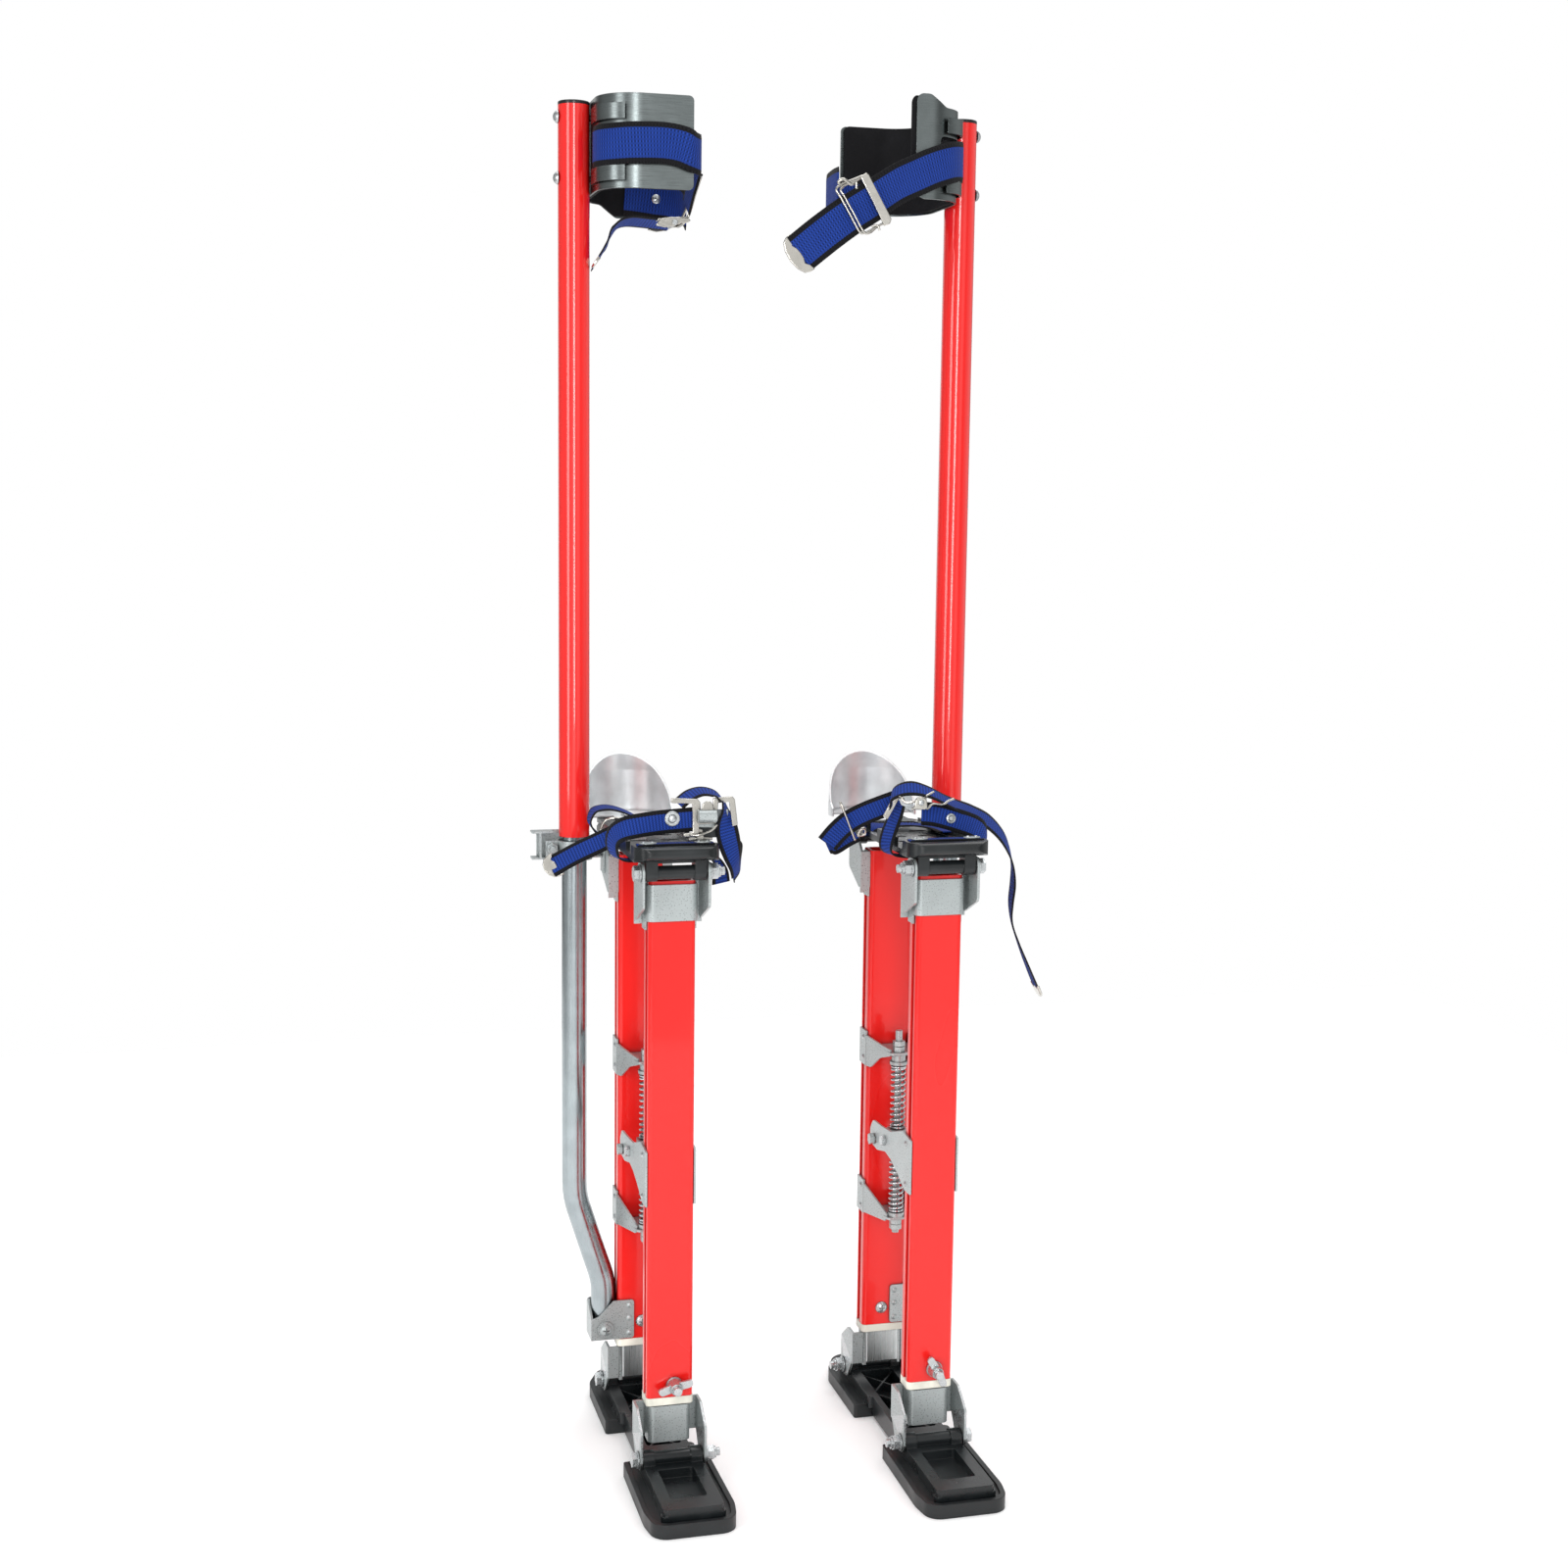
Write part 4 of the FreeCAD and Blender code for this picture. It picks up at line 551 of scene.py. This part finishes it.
# Each band: the kind of strap, the points that its middle runs through in millimetres from the middle of the
# stilt, and the direction across its width at each point.
ROUTES = {
    "r": {
        "toe": ("foot", [(-26, -67, 602), (-40, -65, 601.2), (-49, -64, 605), (-53, -65, 614),
                (-52, -70, 625), (-45, -80, 632.5), (-32, -86, 636.5), (-12, -89, 639.5), (6, -90.5, 641),
                (19, -91, 642)], [BACK, (-0.15, 1, 0), (-0.3, 1, 0.1), (-0.38, 0.95, 0.2),
                (-0.3, 0.7, 0.6), (0, 0.3, 1), UP, UP, UP, UP]),
        "through": ("foot", [(6, -84, 655), (16, -84, 663), (28, -83, 666.5), (40, -84, 664), (47, -88, 657)],
                    [(-0.1, 1, 0.35), (-0.1, 1, 0.3), (0, 1, 0.25), (0, 1, 0.25), (0.1, 1, 0.2)]),
        "instep": ("foot", [(47, -90, 658), (48.5, -91, 649), (49.3, -91, 640), (50.5, -90, 631),
                (53, -88, 621), (57, -85, 609), (61, -81, 598), (63, -76, 589)], [(0.3, 1, 0),
                (0.5, 0.9, 0), (0.85, 0.5, 0), (0.97, 0.2, 0.05), (0.97, 0.15, 0.15), (0.85, 0.4, 0.35),
                (0.6, 0.6, 0.5), (0.5, 0.7, 0.5)]),
        "return": ("foot", [(60, -74, 589), (66, -68, 590), (71, -60, 595), (72, -50, 602), (66, -40, 606)],
                   [(0.3, 0.5, 0.8), (0.1, -0.3, 1), (0, -0.3, 1), (0.1, -0.2, 1), (0.2, 0, 1)]),
        "under": ("foot", [(28, -62, 601.5), (40, -60, 600), (48, -58, 594), (52, -58, 585), (53, -58, 575)],
                  [BACK, BACK, (0.5, 0.8, 0.2), (0.8, 0.6, 0.1), (0.9, 0.5, 0)]),
        "tail": ("foot", [(-28, -6, 619), (-40, -3, 614.5), (-56, 1, 606.5), (-74, 5, 597.5), (-90, 8, 588.5),
                          (-99, 9, 583.5)],
                 [(0.2, 0.5, 0.85)] * 2 + [(0.25, 0.45, 0.85)] * 4),
        "ankle": ("foot", [(-40, 28, 606), (-51, 30, 613), (-57, 32, 623), (-53, 34, 633), (-43, 36, 636),
                           (-31, 38, 634.5), (-18, 40, 629.5), (-6, 42, 623), (8, 44, 617)],
                  [(0, 1, 0.1)] * 9),
        "heel": ("foot", [(-30, 8, 622), (-18, 16, 619), (0, 24, 617.5), (18, 30, 617), (32, 34, 616)],
                [BACK] * 5),
        "deck": ("deck", [(-36, -99, 620.4), (-12, -99, 620.9), (12, -99, 620.9), (36, -99, 620.4)],
                [BACK] * 4),
        "calf": ("calf", [(-46, 66, 1261), (-50.5, 50, 1261), (-48, 34, 1261), (-37, 20.5, 1261),
                (-20, 13.8, 1262), (8, 13.4, 1263), (26, 14, 1261), (38, 17, 1257), (47, 27, 1256),
                (51, 44, 1258), (52.5, 58, 1256), (52, 70, 1246), (50, 80, 1232), (48, 90, 1216)],
                [UP] * 8 + [UP, UP, (0, 0.15, 1), (0, 0.6, 0.8), (0, 0.8, 0.5), (0, 0.85, 0.4)]),
        "calf_far": ("calf", [(-2, 149, 1232), (12, 149, 1231), (28, 147, 1229), (42, 140, 1227),
                (51, 126, 1222), (52, 112, 1214)], [UP, UP, UP, (0, -0.1, 1), (-0.1, -0.35, 1),
                (-0.1, -0.7, 0.7)]),
        "calf_tail": ("calf", [(34, 98, 1199), (20, 98, 1200), (6, 98, 1201), (-8, 97, 1201), (-18, 95, 1197),
                               (-26, 92, 1188), (-31, 88, 1178), (-37, 84, 1168), (-43, 80, 1159)],
                      [(0, 0.97, -0.15)] * 4 + [(0.1, 0.97, -0.1), (0.2, 0.97, 0.0), (0.2, 0.95, 0.1),
                                                (0.2, 0.95, 0.1), (0.2, 0.95, 0.1)]),
    },
    "l": {
        "over": ("foot", [(-39, -56, 650), (-41, -60, 658), (-34, -66, 664), (-22, -70, 665.5),
                (-6, -72, 661), (10, -72, 653), (26, -66, 645.5), (44, -56, 637.5), (62, -48, 627.5),
                (76, -45, 614), (84, -44, 600), (89, -44, 584), (90, -44, 566), (88, -45, 546),
                (89, -46, 528), (96, -46, 508), (104, -46, 489), (112, -46, 471), (117, -46, 460)],
                [(0.6, 0.8, 0.2), (0.3, 0.9, 0.3), (0.1, 0.95, 0.4), (0, 0.9, 0.5), (0, 0.9, 0.45),
                (0.1, 0.9, 0.4), (0.2, 0.9, 0.4), (0.35, 0.9, 0.45), (0.5, 0.85, 0.4), (0.5, 0.9, 0.3),
                (0.4, 0.95, 0.2), (0.25, 1, 0), (0.12, 1, 0), (0.15, 1, 0), (0.3, 1, 0), (0.25, 1, 0),
                (0.15, 1, 0), (0.1, 1, 0), (0.1, 1, 0)]),
        "short": ("foot", [(-16, -74, 642), (-4, -76, 641), (10, -77, 637.5), (24, -76, 633),
                (38, -72, 627.5), (48, -68, 620.5), (53, -64, 611), (50, -62, 603), (38, -62, 600.8),
                (28, -62, 600.8)], [(0.15, 0.3, 1), (0.2, 0.2, 1), (0.25, 0.1, 1), (0.3, 0.1, 1),
                (0.4, 0.2, 0.9), (0.5, 0.5, 0.6), (0.4, 0.9, 0.2), (0.2, 1, 0), BACK, BACK]),
        "under": ("foot", [(-33, -58, 649), (-36, -58, 640), (-40, -58, 630), (-44.5, -60, 619),
                (-46.5, -62, 609), (-42, -64, 602.5), (-32, -66, 600.5), (-22, -68, 600.5)],
                [(-0.2, 1, 0), (-0.3, 1, 0), (-0.38, 1, 0), (-0.38, 1, 0), (-0.3, 1, 0), (-0.1, 1, 0),
                BACK, BACK]),
        "fold": ("foot", [(-24, -30, 648.5), (-38, -22, 642), (-54, -12, 633.5), (-66, -4, 625),
                (-76, 2, 614.5), (-85, 7, 602)], [(-0.4, 0, 1)] * 3 + [(-0.5, 0, 1), (-0.65, 0, 0.9),
                (-0.7, 0, 0.8)]),
        "return": ("foot", [(-85, 9, 601.5), (-78, 14, 600), (-66, 16, 605), (-54, 16, 611)],
                   [(-0.6, 0.2, 0.8), (-0.5, 0.5, 0.8), (-0.4, 0.7, 0.6), (-0.4, 0.7, 0.6)]),
        "ankle": ("foot", [(-44, 20, 614), (-34, 34, 614), (-16, 44, 612.6), (6, 47, 612.6),
                (24, 38, 612.6), (34, 18, 612.6), (36, -8, 612.6)], [(0.2, 0.4, 0.9), (-0.5, 0.7, 0.4),
                (-0.3, 0.9, 0.1), (0.1, 1, 0), (0.5, 0.8, 0), (0.9, 0.3, 0), (1, 0.1, 0)]),
        "deck": ("deck", [(-36, -99, 620.4), (-12, -99, 620.9), (12, -99, 620.9), (36, -99, 620.4)],
                [BACK] * 4),
        "calf": ("calf", [(46, 66, 1261), (50.5, 50, 1261), (48, 33, 1260), (33, 16, 1257), (12, 8, 1250),
                (-8, 3.5, 1241), (-26, 0, 1232.5), (-42, -3, 1222.5), (-56, -5, 1213), (-78, -7, 1199),
                (-96, -8, 1186), (-112, -8.5, 1173.5), (-126, -9, 1162)], [UP, UP, UP, (0.1, 0, 1),
                (0.25, 0, 1), (0.35, 0, 1)] + [(0.5, 0, 1)] * 3 + [(0.55, 0, 1)] * 4),
        "calf_far": ("calf", [(-82, 14, 1228), (-80, 40, 1229), (-74, 80, 1230), (-62, 116, 1232),
                (-46, 142, 1234), (-30, 149, 1236), (-12, 149, 1238)], [UP] * 7),
    },
}
STANDS_FOR = {"foot": "foot_straps", "deck": "foot_straps", "calf": "calf_strap"}
WIDTHS = {"foot": FOOT_WIDTH, "deck": DECK_WIDTH, "calf": CALF_WIDTH}


def strap_body(tag, kind):
    return f"{NAMES[tag]}_{'leg_support' if kind == 'calf' else 'footboard'}"


def straps(tag):
    for name, (kind, route, ups) in ROUTES[tag].items():
        points = [at(tag, *p) for p in route]
        lifts = [Vector(u) for u in ups]
        mesh = band_mesh(f"{tag}_{name}_webbing", points, lifts, WIDTHS[kind] * MM, THICK * MM)
        material = WEBBING["calf" if kind == "calf" else "foot"]
        to_object(f"{tag}_{name}_webbing", mesh, material, strap_body(tag, kind),
                  [f"{tag}_{STANDS_FOR[kind]}"])


# ---------------------------------------------------------------- strap hardware
def outlined(tag, name, outline, thick, origin, u, v, body, stands_for=(), slot="buckle_steel", edge=0.5):
    """A stamped plate from its outline, with its sheared edges rounded off."""
    build = plate(outline, thick, at(tag, *origin), Vector(u), Vector(v))
    mesh = solid_mesh(f"{tag}_{name}", [build])
    obj = to_object(mesh.name, mesh, MATERIALS[slot], body, stands_for)
    return soften(obj, edge * MM)


def wire(tag, name, points, radius, body, stands_for=(), slot="buckle_steel", closed=False):
    line = smooth_path([at(tag, *p) for p in points], 5)
    mesh = wire_mesh(f"{tag}_{name}", line, radius * MM, closed=closed)
    return to_object(f"{tag}_{name}", mesh, MATERIALS[slot], body, stands_for)


def rounds(tag, name, pieces, body, stands_for=(), slot="zinc_hardware"):
    """Round parts: each piece is (start, direction, profile)."""
    builds = [turned(at(tag, *start), Vector(direction), profile) for start, direction, profile in pieces]
    mesh = solid_mesh(f"{tag}_{name}", builds)
    return to_object(mesh.name, mesh, MATERIALS[slot], body, stands_for)


RIVET = [(0, 7.0), (0.9, 7.2), (1.5, 6.6), (1.7, 4.2), (1.2, 3.6), (2.3, 3.2), (2.9, 1.6), (3.0, 0.2)]
STUD = [(0, 1.9), (0.5, 1.8), (1.0, 1.2), (1.15, 0.2)]


def strap_tip(tag, name, origin, along, across, width, body):
    """Crimped metal end on a strap, drawn as one flat scalloped plate."""
    half = width / 2 + 0.8
    shape = [(-9, -half), (-4, -half * 0.98), (1, -half * 0.86), (4.5, -half * 0.5), (6, 0),
            (4.5, half * 0.5), (1, half * 0.86), (-4, half * 0.98), (-9, half), (-7.2, half * 0.7),
            (-4.4, half * 0.5), (-6.4, half * 0.26), (-6.8, 0), (-6.4, -half * 0.26), (-4.4, -half * 0.5),
            (-7.2, -half * 0.7)]
    outlined(tag, name, shape, 2.6, origin, along, across, body, edge=0.7)


def deck_plates(tag):
    """Two riveted clamp plates that hold the toe strap on the front of the footboard."""
    body = f"{NAMES[tag]}_footboard"
    for side, label in ((-1, "left"), (1, "right")):
        centre = (26 * side, -99, 621.9)
        oval = [(8.4 * math.cos(a), 4.6 * math.sin(a)) for a in [2 * math.pi * k / 20 for k in range(20)]]
        outlined(tag, f"clamp_plate_{label}", oval, 1.2, centre, (1, 0, 0), BACK, body, slot="steel_bracket")
        rounds(tag, f"clamp_rivets_{label}", [((26 * side + x, -99, 622.4), UP, STUD) for x in (-4, 4)], body)


def right_foot_hardware():
    """Stamped cam buckle on the right stilt's toe strap, its rivet and the tail's metal end."""
    body, stood = "right_footboard", ["r_foot_buckles"]
    u, v, origin = (1, 0.02, 0), UP, (0, -94.5, 0)
    frame_outline = [(-3.5, 662.6), (21.5, 661.2), (24.0, 658.0), (24.6, 651.0), (36.0, 650.6), (36.4, 661.6),
                     (54.5, 662.8), (57.0, 660.0), (60.0, 636.0), (54.8, 634.6), (51.8, 657.6), (41.0, 657.0),
                     (40.2, 638.0), (22.8, 637.4), (23.0, 626.4), (8.5, 626.0), (8.5, 629.4), (17.2, 630.2),
                     (16.6, 657.0), (-3.5, 658.0)]
    outlined("r", "cam_buckle_frame", frame_outline, 2.2, origin, u, v, body, stood)
    outlined("r", "cam_plate", [(23, 634), (50, 633), (52, 650), (24, 651)], 1.6, (0, -90.5, 0), u, v, body,
             slot="steel_bracket")
    outlined("r", "cam_pad", [(20, 624), (44, 624), (46, 634), (22, 635)], 2.0, (0, -89.5, 0), u, v, body,
             slot="black_plastic")
    rounds("r", "cam_roller", [((21.5, -96.5, 645.2), (1, 0, 0), [(0, 5.6), (0.5, 6.2), (17.0, 6.2),
            (17.5, 5.6)])], body, slot="steel_bracket")
    outlined("r", "cam_tongue", [(24.6, 650.5), (25.6, 656.5), (28.6, 659.2), (33.0, 659.0), (35.6, 655.8),
                                 (36.2, 650.5)], 2.0, (0, -97.6, 0), u, v, body)
    outlined("r", "cam_feet", [(14.0, 621.5), (36.5, 622.3), (36.5, 624.6), (28.0, 625.2), (27.0, 632.0),
                               (22.5, 633.4), (21.5, 625.0), (14.0, 624.6)], 2.4, (0, -92.5, 0), u, v, body)
    wire("r", "cam_hinge", [(14, -95, 628), (22, -97, 627.6), (30, -97, 630), (36, -96, 633), (40, -95, 637)],
         1.1, body)
    rounds("r", "toe_rivet", [((-1.5, -91.2, 643.0), (0, -1, 0), RIVET)], body)
    strap_tip("r", "tail_tip", (-99.5, 8.8, 583.2), (-0.87, 0.1, -0.47), (0.45, -0.45, -0.8), FOOT_WIDTH,
            body)
    wire("r", "ankle_ring", [(-50, 12, 618), (-46, 6, 628), (-34, 4, 630), (-26, 6, 624), (-30, 10, 615),
                             (-42, 12, 612)], 1.3, body, closed=True)
    rounds("r", "ankle_roller", [((-44, 10, 617), (0.95, 0.1, 0.25), [(0, 3.2), (0.5, 3.8), (17, 3.8),
            (17.5, 3.2)])], body, slot="black_plastic")


def left_foot_hardware():
    """Wire buckle, bent adjuster bar and keeper wire on the left stilt's toe strap."""
    body, stood = "left_footboard", ["l_foot_buckles"]
    wire("l", "buckle_wire_low", [(-38.5, -80, 658.6), (-34.5, -82, 654.2), (-25.5, -84, 655),
            (-17.5, -84, 654.6), (-14.2, -84, 647.6), (-8.2, -83, 652.2), (2.4, -82, 651.4),
            (8.6, -81, 654.6), (14.2, -80, 656.2)], 1.15, body, stood)
    wire("l", "buckle_wire_high", [(-5.4, -78, 663.2), (-10.2, -79, 661.0), (-13.5, -80, 659.4),
            (-15.6, -81, 655.6), (-19.5, -82, 657.4)], 1.1, body)
    outlined("l", "buckle_block", [(-26.4, 651.0), (-25.8, 657.4), (-22.8, 659.4), (-17.8, 659.2),
            (-14.8, 656.6), (-14.0, 648.6), (-16.6, 647.0), (-27.6, 647.6), (-29.4, 645.8),
            (-30.0, 648.4)], 3.4, (0, -84.5, 0), (1, 0, 0), UP, body, edge=0.8)
    rounds("l", "buckle_boss", [((-20.4, -86.0, 654.0), (0, -1, 0), [(0, 2.9), (0.8, 2.6), (1.3, 1.6),
            (1.4, 0.2)])], body)
    outlined("l", "adjuster_bar", [(-38.0, 658.6), (-33.2, 655.0), (-44.6, 634.4), (-49.2, 637.8)], 2.0,
             (0, -58, 0), (1, 0, 0), UP, body)
    wire("l", "adjuster_link", [(-39.5, -58, 656.8), (-38.5, -70, 658.2), (-36.5, -80, 657.4)], 1.3, body)
    wire("l", "keeper_wire", [(-76.0, -6, 644.4), (-69.0, -8, 627.0), (-62.0, -8, 609.0), (-59.5, 2, 609.6),
                              (-66.0, 8, 626.0), (-73.5, 4, 643.0)], 1.0, body, closed=True)
    wire("l", "keeper_loop", [(-57.0, -2, 611.0), (-55.2, -4, 616.6), (-50.4, -4, 617.8), (-49.4, -2, 612.4),
                              (-53.4, 0, 610.6)], 1.4, body, closed=True)
    rounds("l", "toe_rivet", [((12.0, -78.4, 637.2), (0.05, -1, 0.1), [(0, 4.8), (0.8, 4.7), (1.2, 3.2),
            (0.8, 2.8), (2.0, 2.2), (2.4, 0.2)])], body)
    strap_tip("l", "tail_tip", (118.6, -46, 457.2), (0.43, 0, -0.9), (0.1, 1, 0), FOOT_WIDTH, body)


def right_calf_hardware():
    """Cam buckle under the right calf strap, its wire loop, the lining rivet and the tail's metal end."""
    body, stood = "right_leg_support", ["r_calf_buckle"]
    side = [(15.0, 1196.0), (18.0, 1200.2), (24.0, 1203.4), (31.0, 1204.6), (47.5, 1204.2), (49.5, 1202.0),
            (47.0, 1200.0), (40.0, 1199.2), (33.0, 1196.0), (24.0, 1194.4)]
    for y in (78.0, 118.0):
        outlined("r", f"calf_cam_side_{int(y)}", side, 2.0, (0, y, 0), (1, 0, 0), UP, body, stood)
    outlined("r", "calf_cam_plate", [(-15, -20), (15, -20), (15, 20), (-15, 20)], 1.8, (32, 98, 1203.4),
             (1, 0, 0.12), BACK, body)
    rounds("r", "calf_cam_pin", [((34, 76, 1199.6), BACK, [(0, 2.4), (0.4, 2.8), (43.6, 2.8),
            (44, 2.4)])], body)
    wire("r", "calf_loop", [(56.5, 62, 1243), (52.5, 72, 1226), (48.5, 80, 1208), (44, 84, 1200),
            (44, 112, 1200), (48.5, 112, 1208), (53.5, 96, 1226), (57.0, 84, 1243)], 1.3, body,
            closed=True)
    rounds("r", "lining_rivet", [((29.0, 145.2, 1229.7), (0, -1, 0), [(0, 4.6), (0.8, 4.5), (1.8, 3.2),
            (2.2, 0.2)])], body)
    strap_tip("r", "calf_tip", (-43.6, 79.6, 1158.0), (-0.55, -0.3, -0.75), (0.2, 0.97, 0.1), 36, body)


def left_calf_hardware():
    """Large stamped frame with a double wire bar on the left calf strap, and the tail's metal end."""
    body, stood = "left_leg_support", ["l_calf_buckle"]
    wide = [(-67.8, 1235.2), (-62.2, 1239.0), (-59.4, 1237.4), (-36.4, 1198.0), (-37.8, 1193.6),
            (-43.2, 1191.4)]
    outlined("l", "calf_frame_bar", wide, 3.2, (0, -9.5, 0), (1, 0, 0), UP, body, stood, edge=0.7)
    for label, shift in (("outer", 0.0), ("inner", 4.2)):
        wire("l", f"calf_wire_{label}", [(-64.5, -8, 1236.6), (-74 + shift, -8.5, 1232.4),
                (-84 + shift, -9, 1228.4), (-90.6 + shift, -9.5, 1223.0), (-87 + shift, -10.5, 1216.0),
                (-77.5 + shift, -11, 1200.4), (-68 + shift, -11, 1185.2), (-62 + shift, -10.5, 1184.4),
                (-50, -9.5, 1190.6), (-41.6, -9, 1195.0)], 1.1, body)
    wire("l", "calf_hook", [(-83.5, -8, 1224.6), (-88.4, -9, 1229.4), (-84, -10, 1232.0), (-76, -9, 1228.0),
                            (-71.5, -8, 1231.4), (-70.6, -8, 1224.2)], 1.5, body)
    wire("l", "calf_prong", [(-56, -10, 1190.4), (-50.5, -11, 1191.4), (-48.2, -11, 1187.0)], 1.1, body)
    strap_tip("l", "calf_tip", (-129.6, -9.2, 1159.2), (-0.77, 0, -0.63), (0.63, 0, -0.77), CALF_WIDTH, body)


for tag in SIDES:
    for which in ("upper", "lower"):
        spring(tag, which)
    straps(tag)
    deck_plates(tag)
right_foot_hardware()
left_foot_hardware()
right_calf_hardware()
left_calf_hardware()


# ---------------------------------------------------------------- floor, light and camera
def strips(nodes, links, coordinate, stops):
    """Brightness of the surroundings from left (-1) to right (1), as (place, brightness) stops."""
    split = nodes.new("ShaderNodeSeparateXYZ")
    links.new(coordinate, split.inputs["Vector"])
    spread = nodes.new("ShaderNodeMapRange")
    spread.inputs["From Min"].default_value = -1.0
    spread.inputs["From Max"].default_value = 1.0
    links.new(split.outputs["X"], spread.inputs["Value"])
    ramp = nodes.new("ShaderNodeValToRGB")
    while len(ramp.color_ramp.elements) < len(stops):
        ramp.color_ramp.elements.new(0.5)
    for element, (place, value) in zip(ramp.color_ramp.elements, stops):
        element.position = (place + 1) / 2
        element.color = (value, value, value, 1)
    links.new(spread.outputs["Result"], ramp.inputs["Fac"])
    return ramp.outputs["Color"]


REFLECTED_STRIPS = [(-1.0, 0.5), (-0.68, 0.10), (-0.42, 0.85), (-0.14, 1.0), (0.02, 0.22),
                    (0.14, 0.45), (0.30, 1.15), (0.50, 0.9), (0.66, 0.10), (1.0, 0.7)]
SOFT_STRIPS = [(-1.0, 0.42), (-0.3, 0.72), (0.1, 0.98), (1.0, 0.92)]
FLOOR_HALF, FLOOR_LEVEL, FLOOR_GLOW = 1.7, -0.0004, 0.12


def surroundings():
    """White room seen directly; reflections meet grey gaps between bright panels."""
    world = bpy.data.worlds.new("studio_world")
    world.use_nodes = True
    nodes, links = world.node_tree.nodes, world.node_tree.links
    coordinate = nodes.new("ShaderNodeTexCoord").outputs["Generated"]
    panels = strips(nodes, links, coordinate, REFLECTED_STRIPS)
    soft = strips(nodes, links, coordinate, SOFT_STRIPS)
    rays = nodes.new("ShaderNodeLightPath")
    reflected = nodes.new("ShaderNodeMix")
    seen = nodes.new("ShaderNodeMix")
    for node in (reflected, seen):
        node.data_type = "RGBA"
    links.new(rays.outputs["Is Glossy Ray"], reflected.inputs["Factor"])
    links.new(soft, reflected.inputs[6])
    links.new(panels, reflected.inputs[7])
    links.new(rays.outputs["Is Camera Ray"], seen.inputs["Factor"])
    links.new(reflected.outputs[2], seen.inputs[6])
    seen.inputs[7].default_value = (1.0, 1.0, 1.0, 1)
    links.new(seen.outputs[2], nodes["Background"].inputs["Color"])
    nodes["Background"].inputs["Strength"].default_value = 1.0
    bpy.context.scene.world = world


def studio():
    """Pale floor and the surroundings."""
    mesh = bpy.data.meshes.new("studio_floor")
    corners = [(-1, -1), (1, -1), (1, 1), (-1, 1)]
    mesh.from_pydata([(x * FLOOR_HALF, y * FLOOR_HALF, FLOOR_LEVEL) for x, y in corners], [], [(0, 1, 2, 3)])
    floor = bpy.data.objects.new("studio_floor", mesh)
    bpy.context.scene.collection.objects.link(floor)
    pale = Finish("pale_floor", (0.95, 0.95, 0.95), 0.9)
    pale.colour(pale.ramp(pale.noise(pale.place(EVEN), 3, 2), (0.94, 0.94, 0.94), (0.96, 0.96, 0.96)))
    pale.shader.inputs["Emission Color"].default_value = (1, 1, 1, 1)
    pale.shader.inputs["Emission Strength"].default_value = FLOOR_GLOW
    mesh.materials.append(pale.material)
    surroundings()


# name: place, aimed at, width, height (metres), watts
LIGHTS = {
    "front_panel": ((-0.55, -2.7, 1.2), (0, 0, 0.8), 0.4, 1.6, 26),
    "side_panel": ((-2.0, -1.3, 1.1), (0, 0, 0.8), 0.7, 1.6, 18),
    "top_light": ((0.2, 0.6, 3.0), (0, 0, 0.5), 2.0, 2.0, 30),
}
YAW, PITCH, ROLL = math.radians(15.05), math.radians(7.61), math.radians(0.71)
EYE = (-409.3, -2002.6, 937.2)                # camera, millimetres from the middle of the right stilt
LENS, SENSOR = 49.2, 36.0


def soft_light(name, place, aim, width, height, watts):
    data = bpy.data.lights.new(name, "AREA")
    data.shape = "RECTANGLE"
    data.size, data.size_y, data.energy = width, height, watts
    lamp = bpy.data.objects.new(name, data)
    bpy.context.scene.collection.objects.link(lamp)
    lamp.location = place
    lamp.rotation_euler = (Vector(aim) - Vector(place)).to_track_quat("-Z", "Y").to_euler()


def camera():
    """The viewpoint: a little left of the pair and in front, at chest height, looking slightly down."""
    forward = Vector((math.sin(YAW) * math.cos(PITCH), math.cos(YAW) * math.cos(PITCH), -math.sin(PITCH)))
    right = Vector((math.cos(YAW), -math.sin(YAW), 0))
    up = right.cross(forward)
    turned_right = right * math.cos(ROLL) + up * math.sin(ROLL)
    turned_up = up * math.cos(ROLL) - right * math.sin(ROLL)
    data = bpy.data.cameras.new("camera")
    data.lens, data.sensor_width = LENS, SENSOR
    view = bpy.data.objects.new("camera", data)
    bpy.context.scene.collection.objects.link(view)
    spin = Matrix((turned_right, turned_up, -forward)).transposed().to_4x4()
    view.matrix_world = Matrix.Translation(at("r", *EYE)) @ spin
    bpy.context.scene.camera = view


studio()
for name, settings in LIGHTS.items():
    soft_light(name, *settings)
camera()
bpy.context.scene.view_settings.view_transform = "Standard"
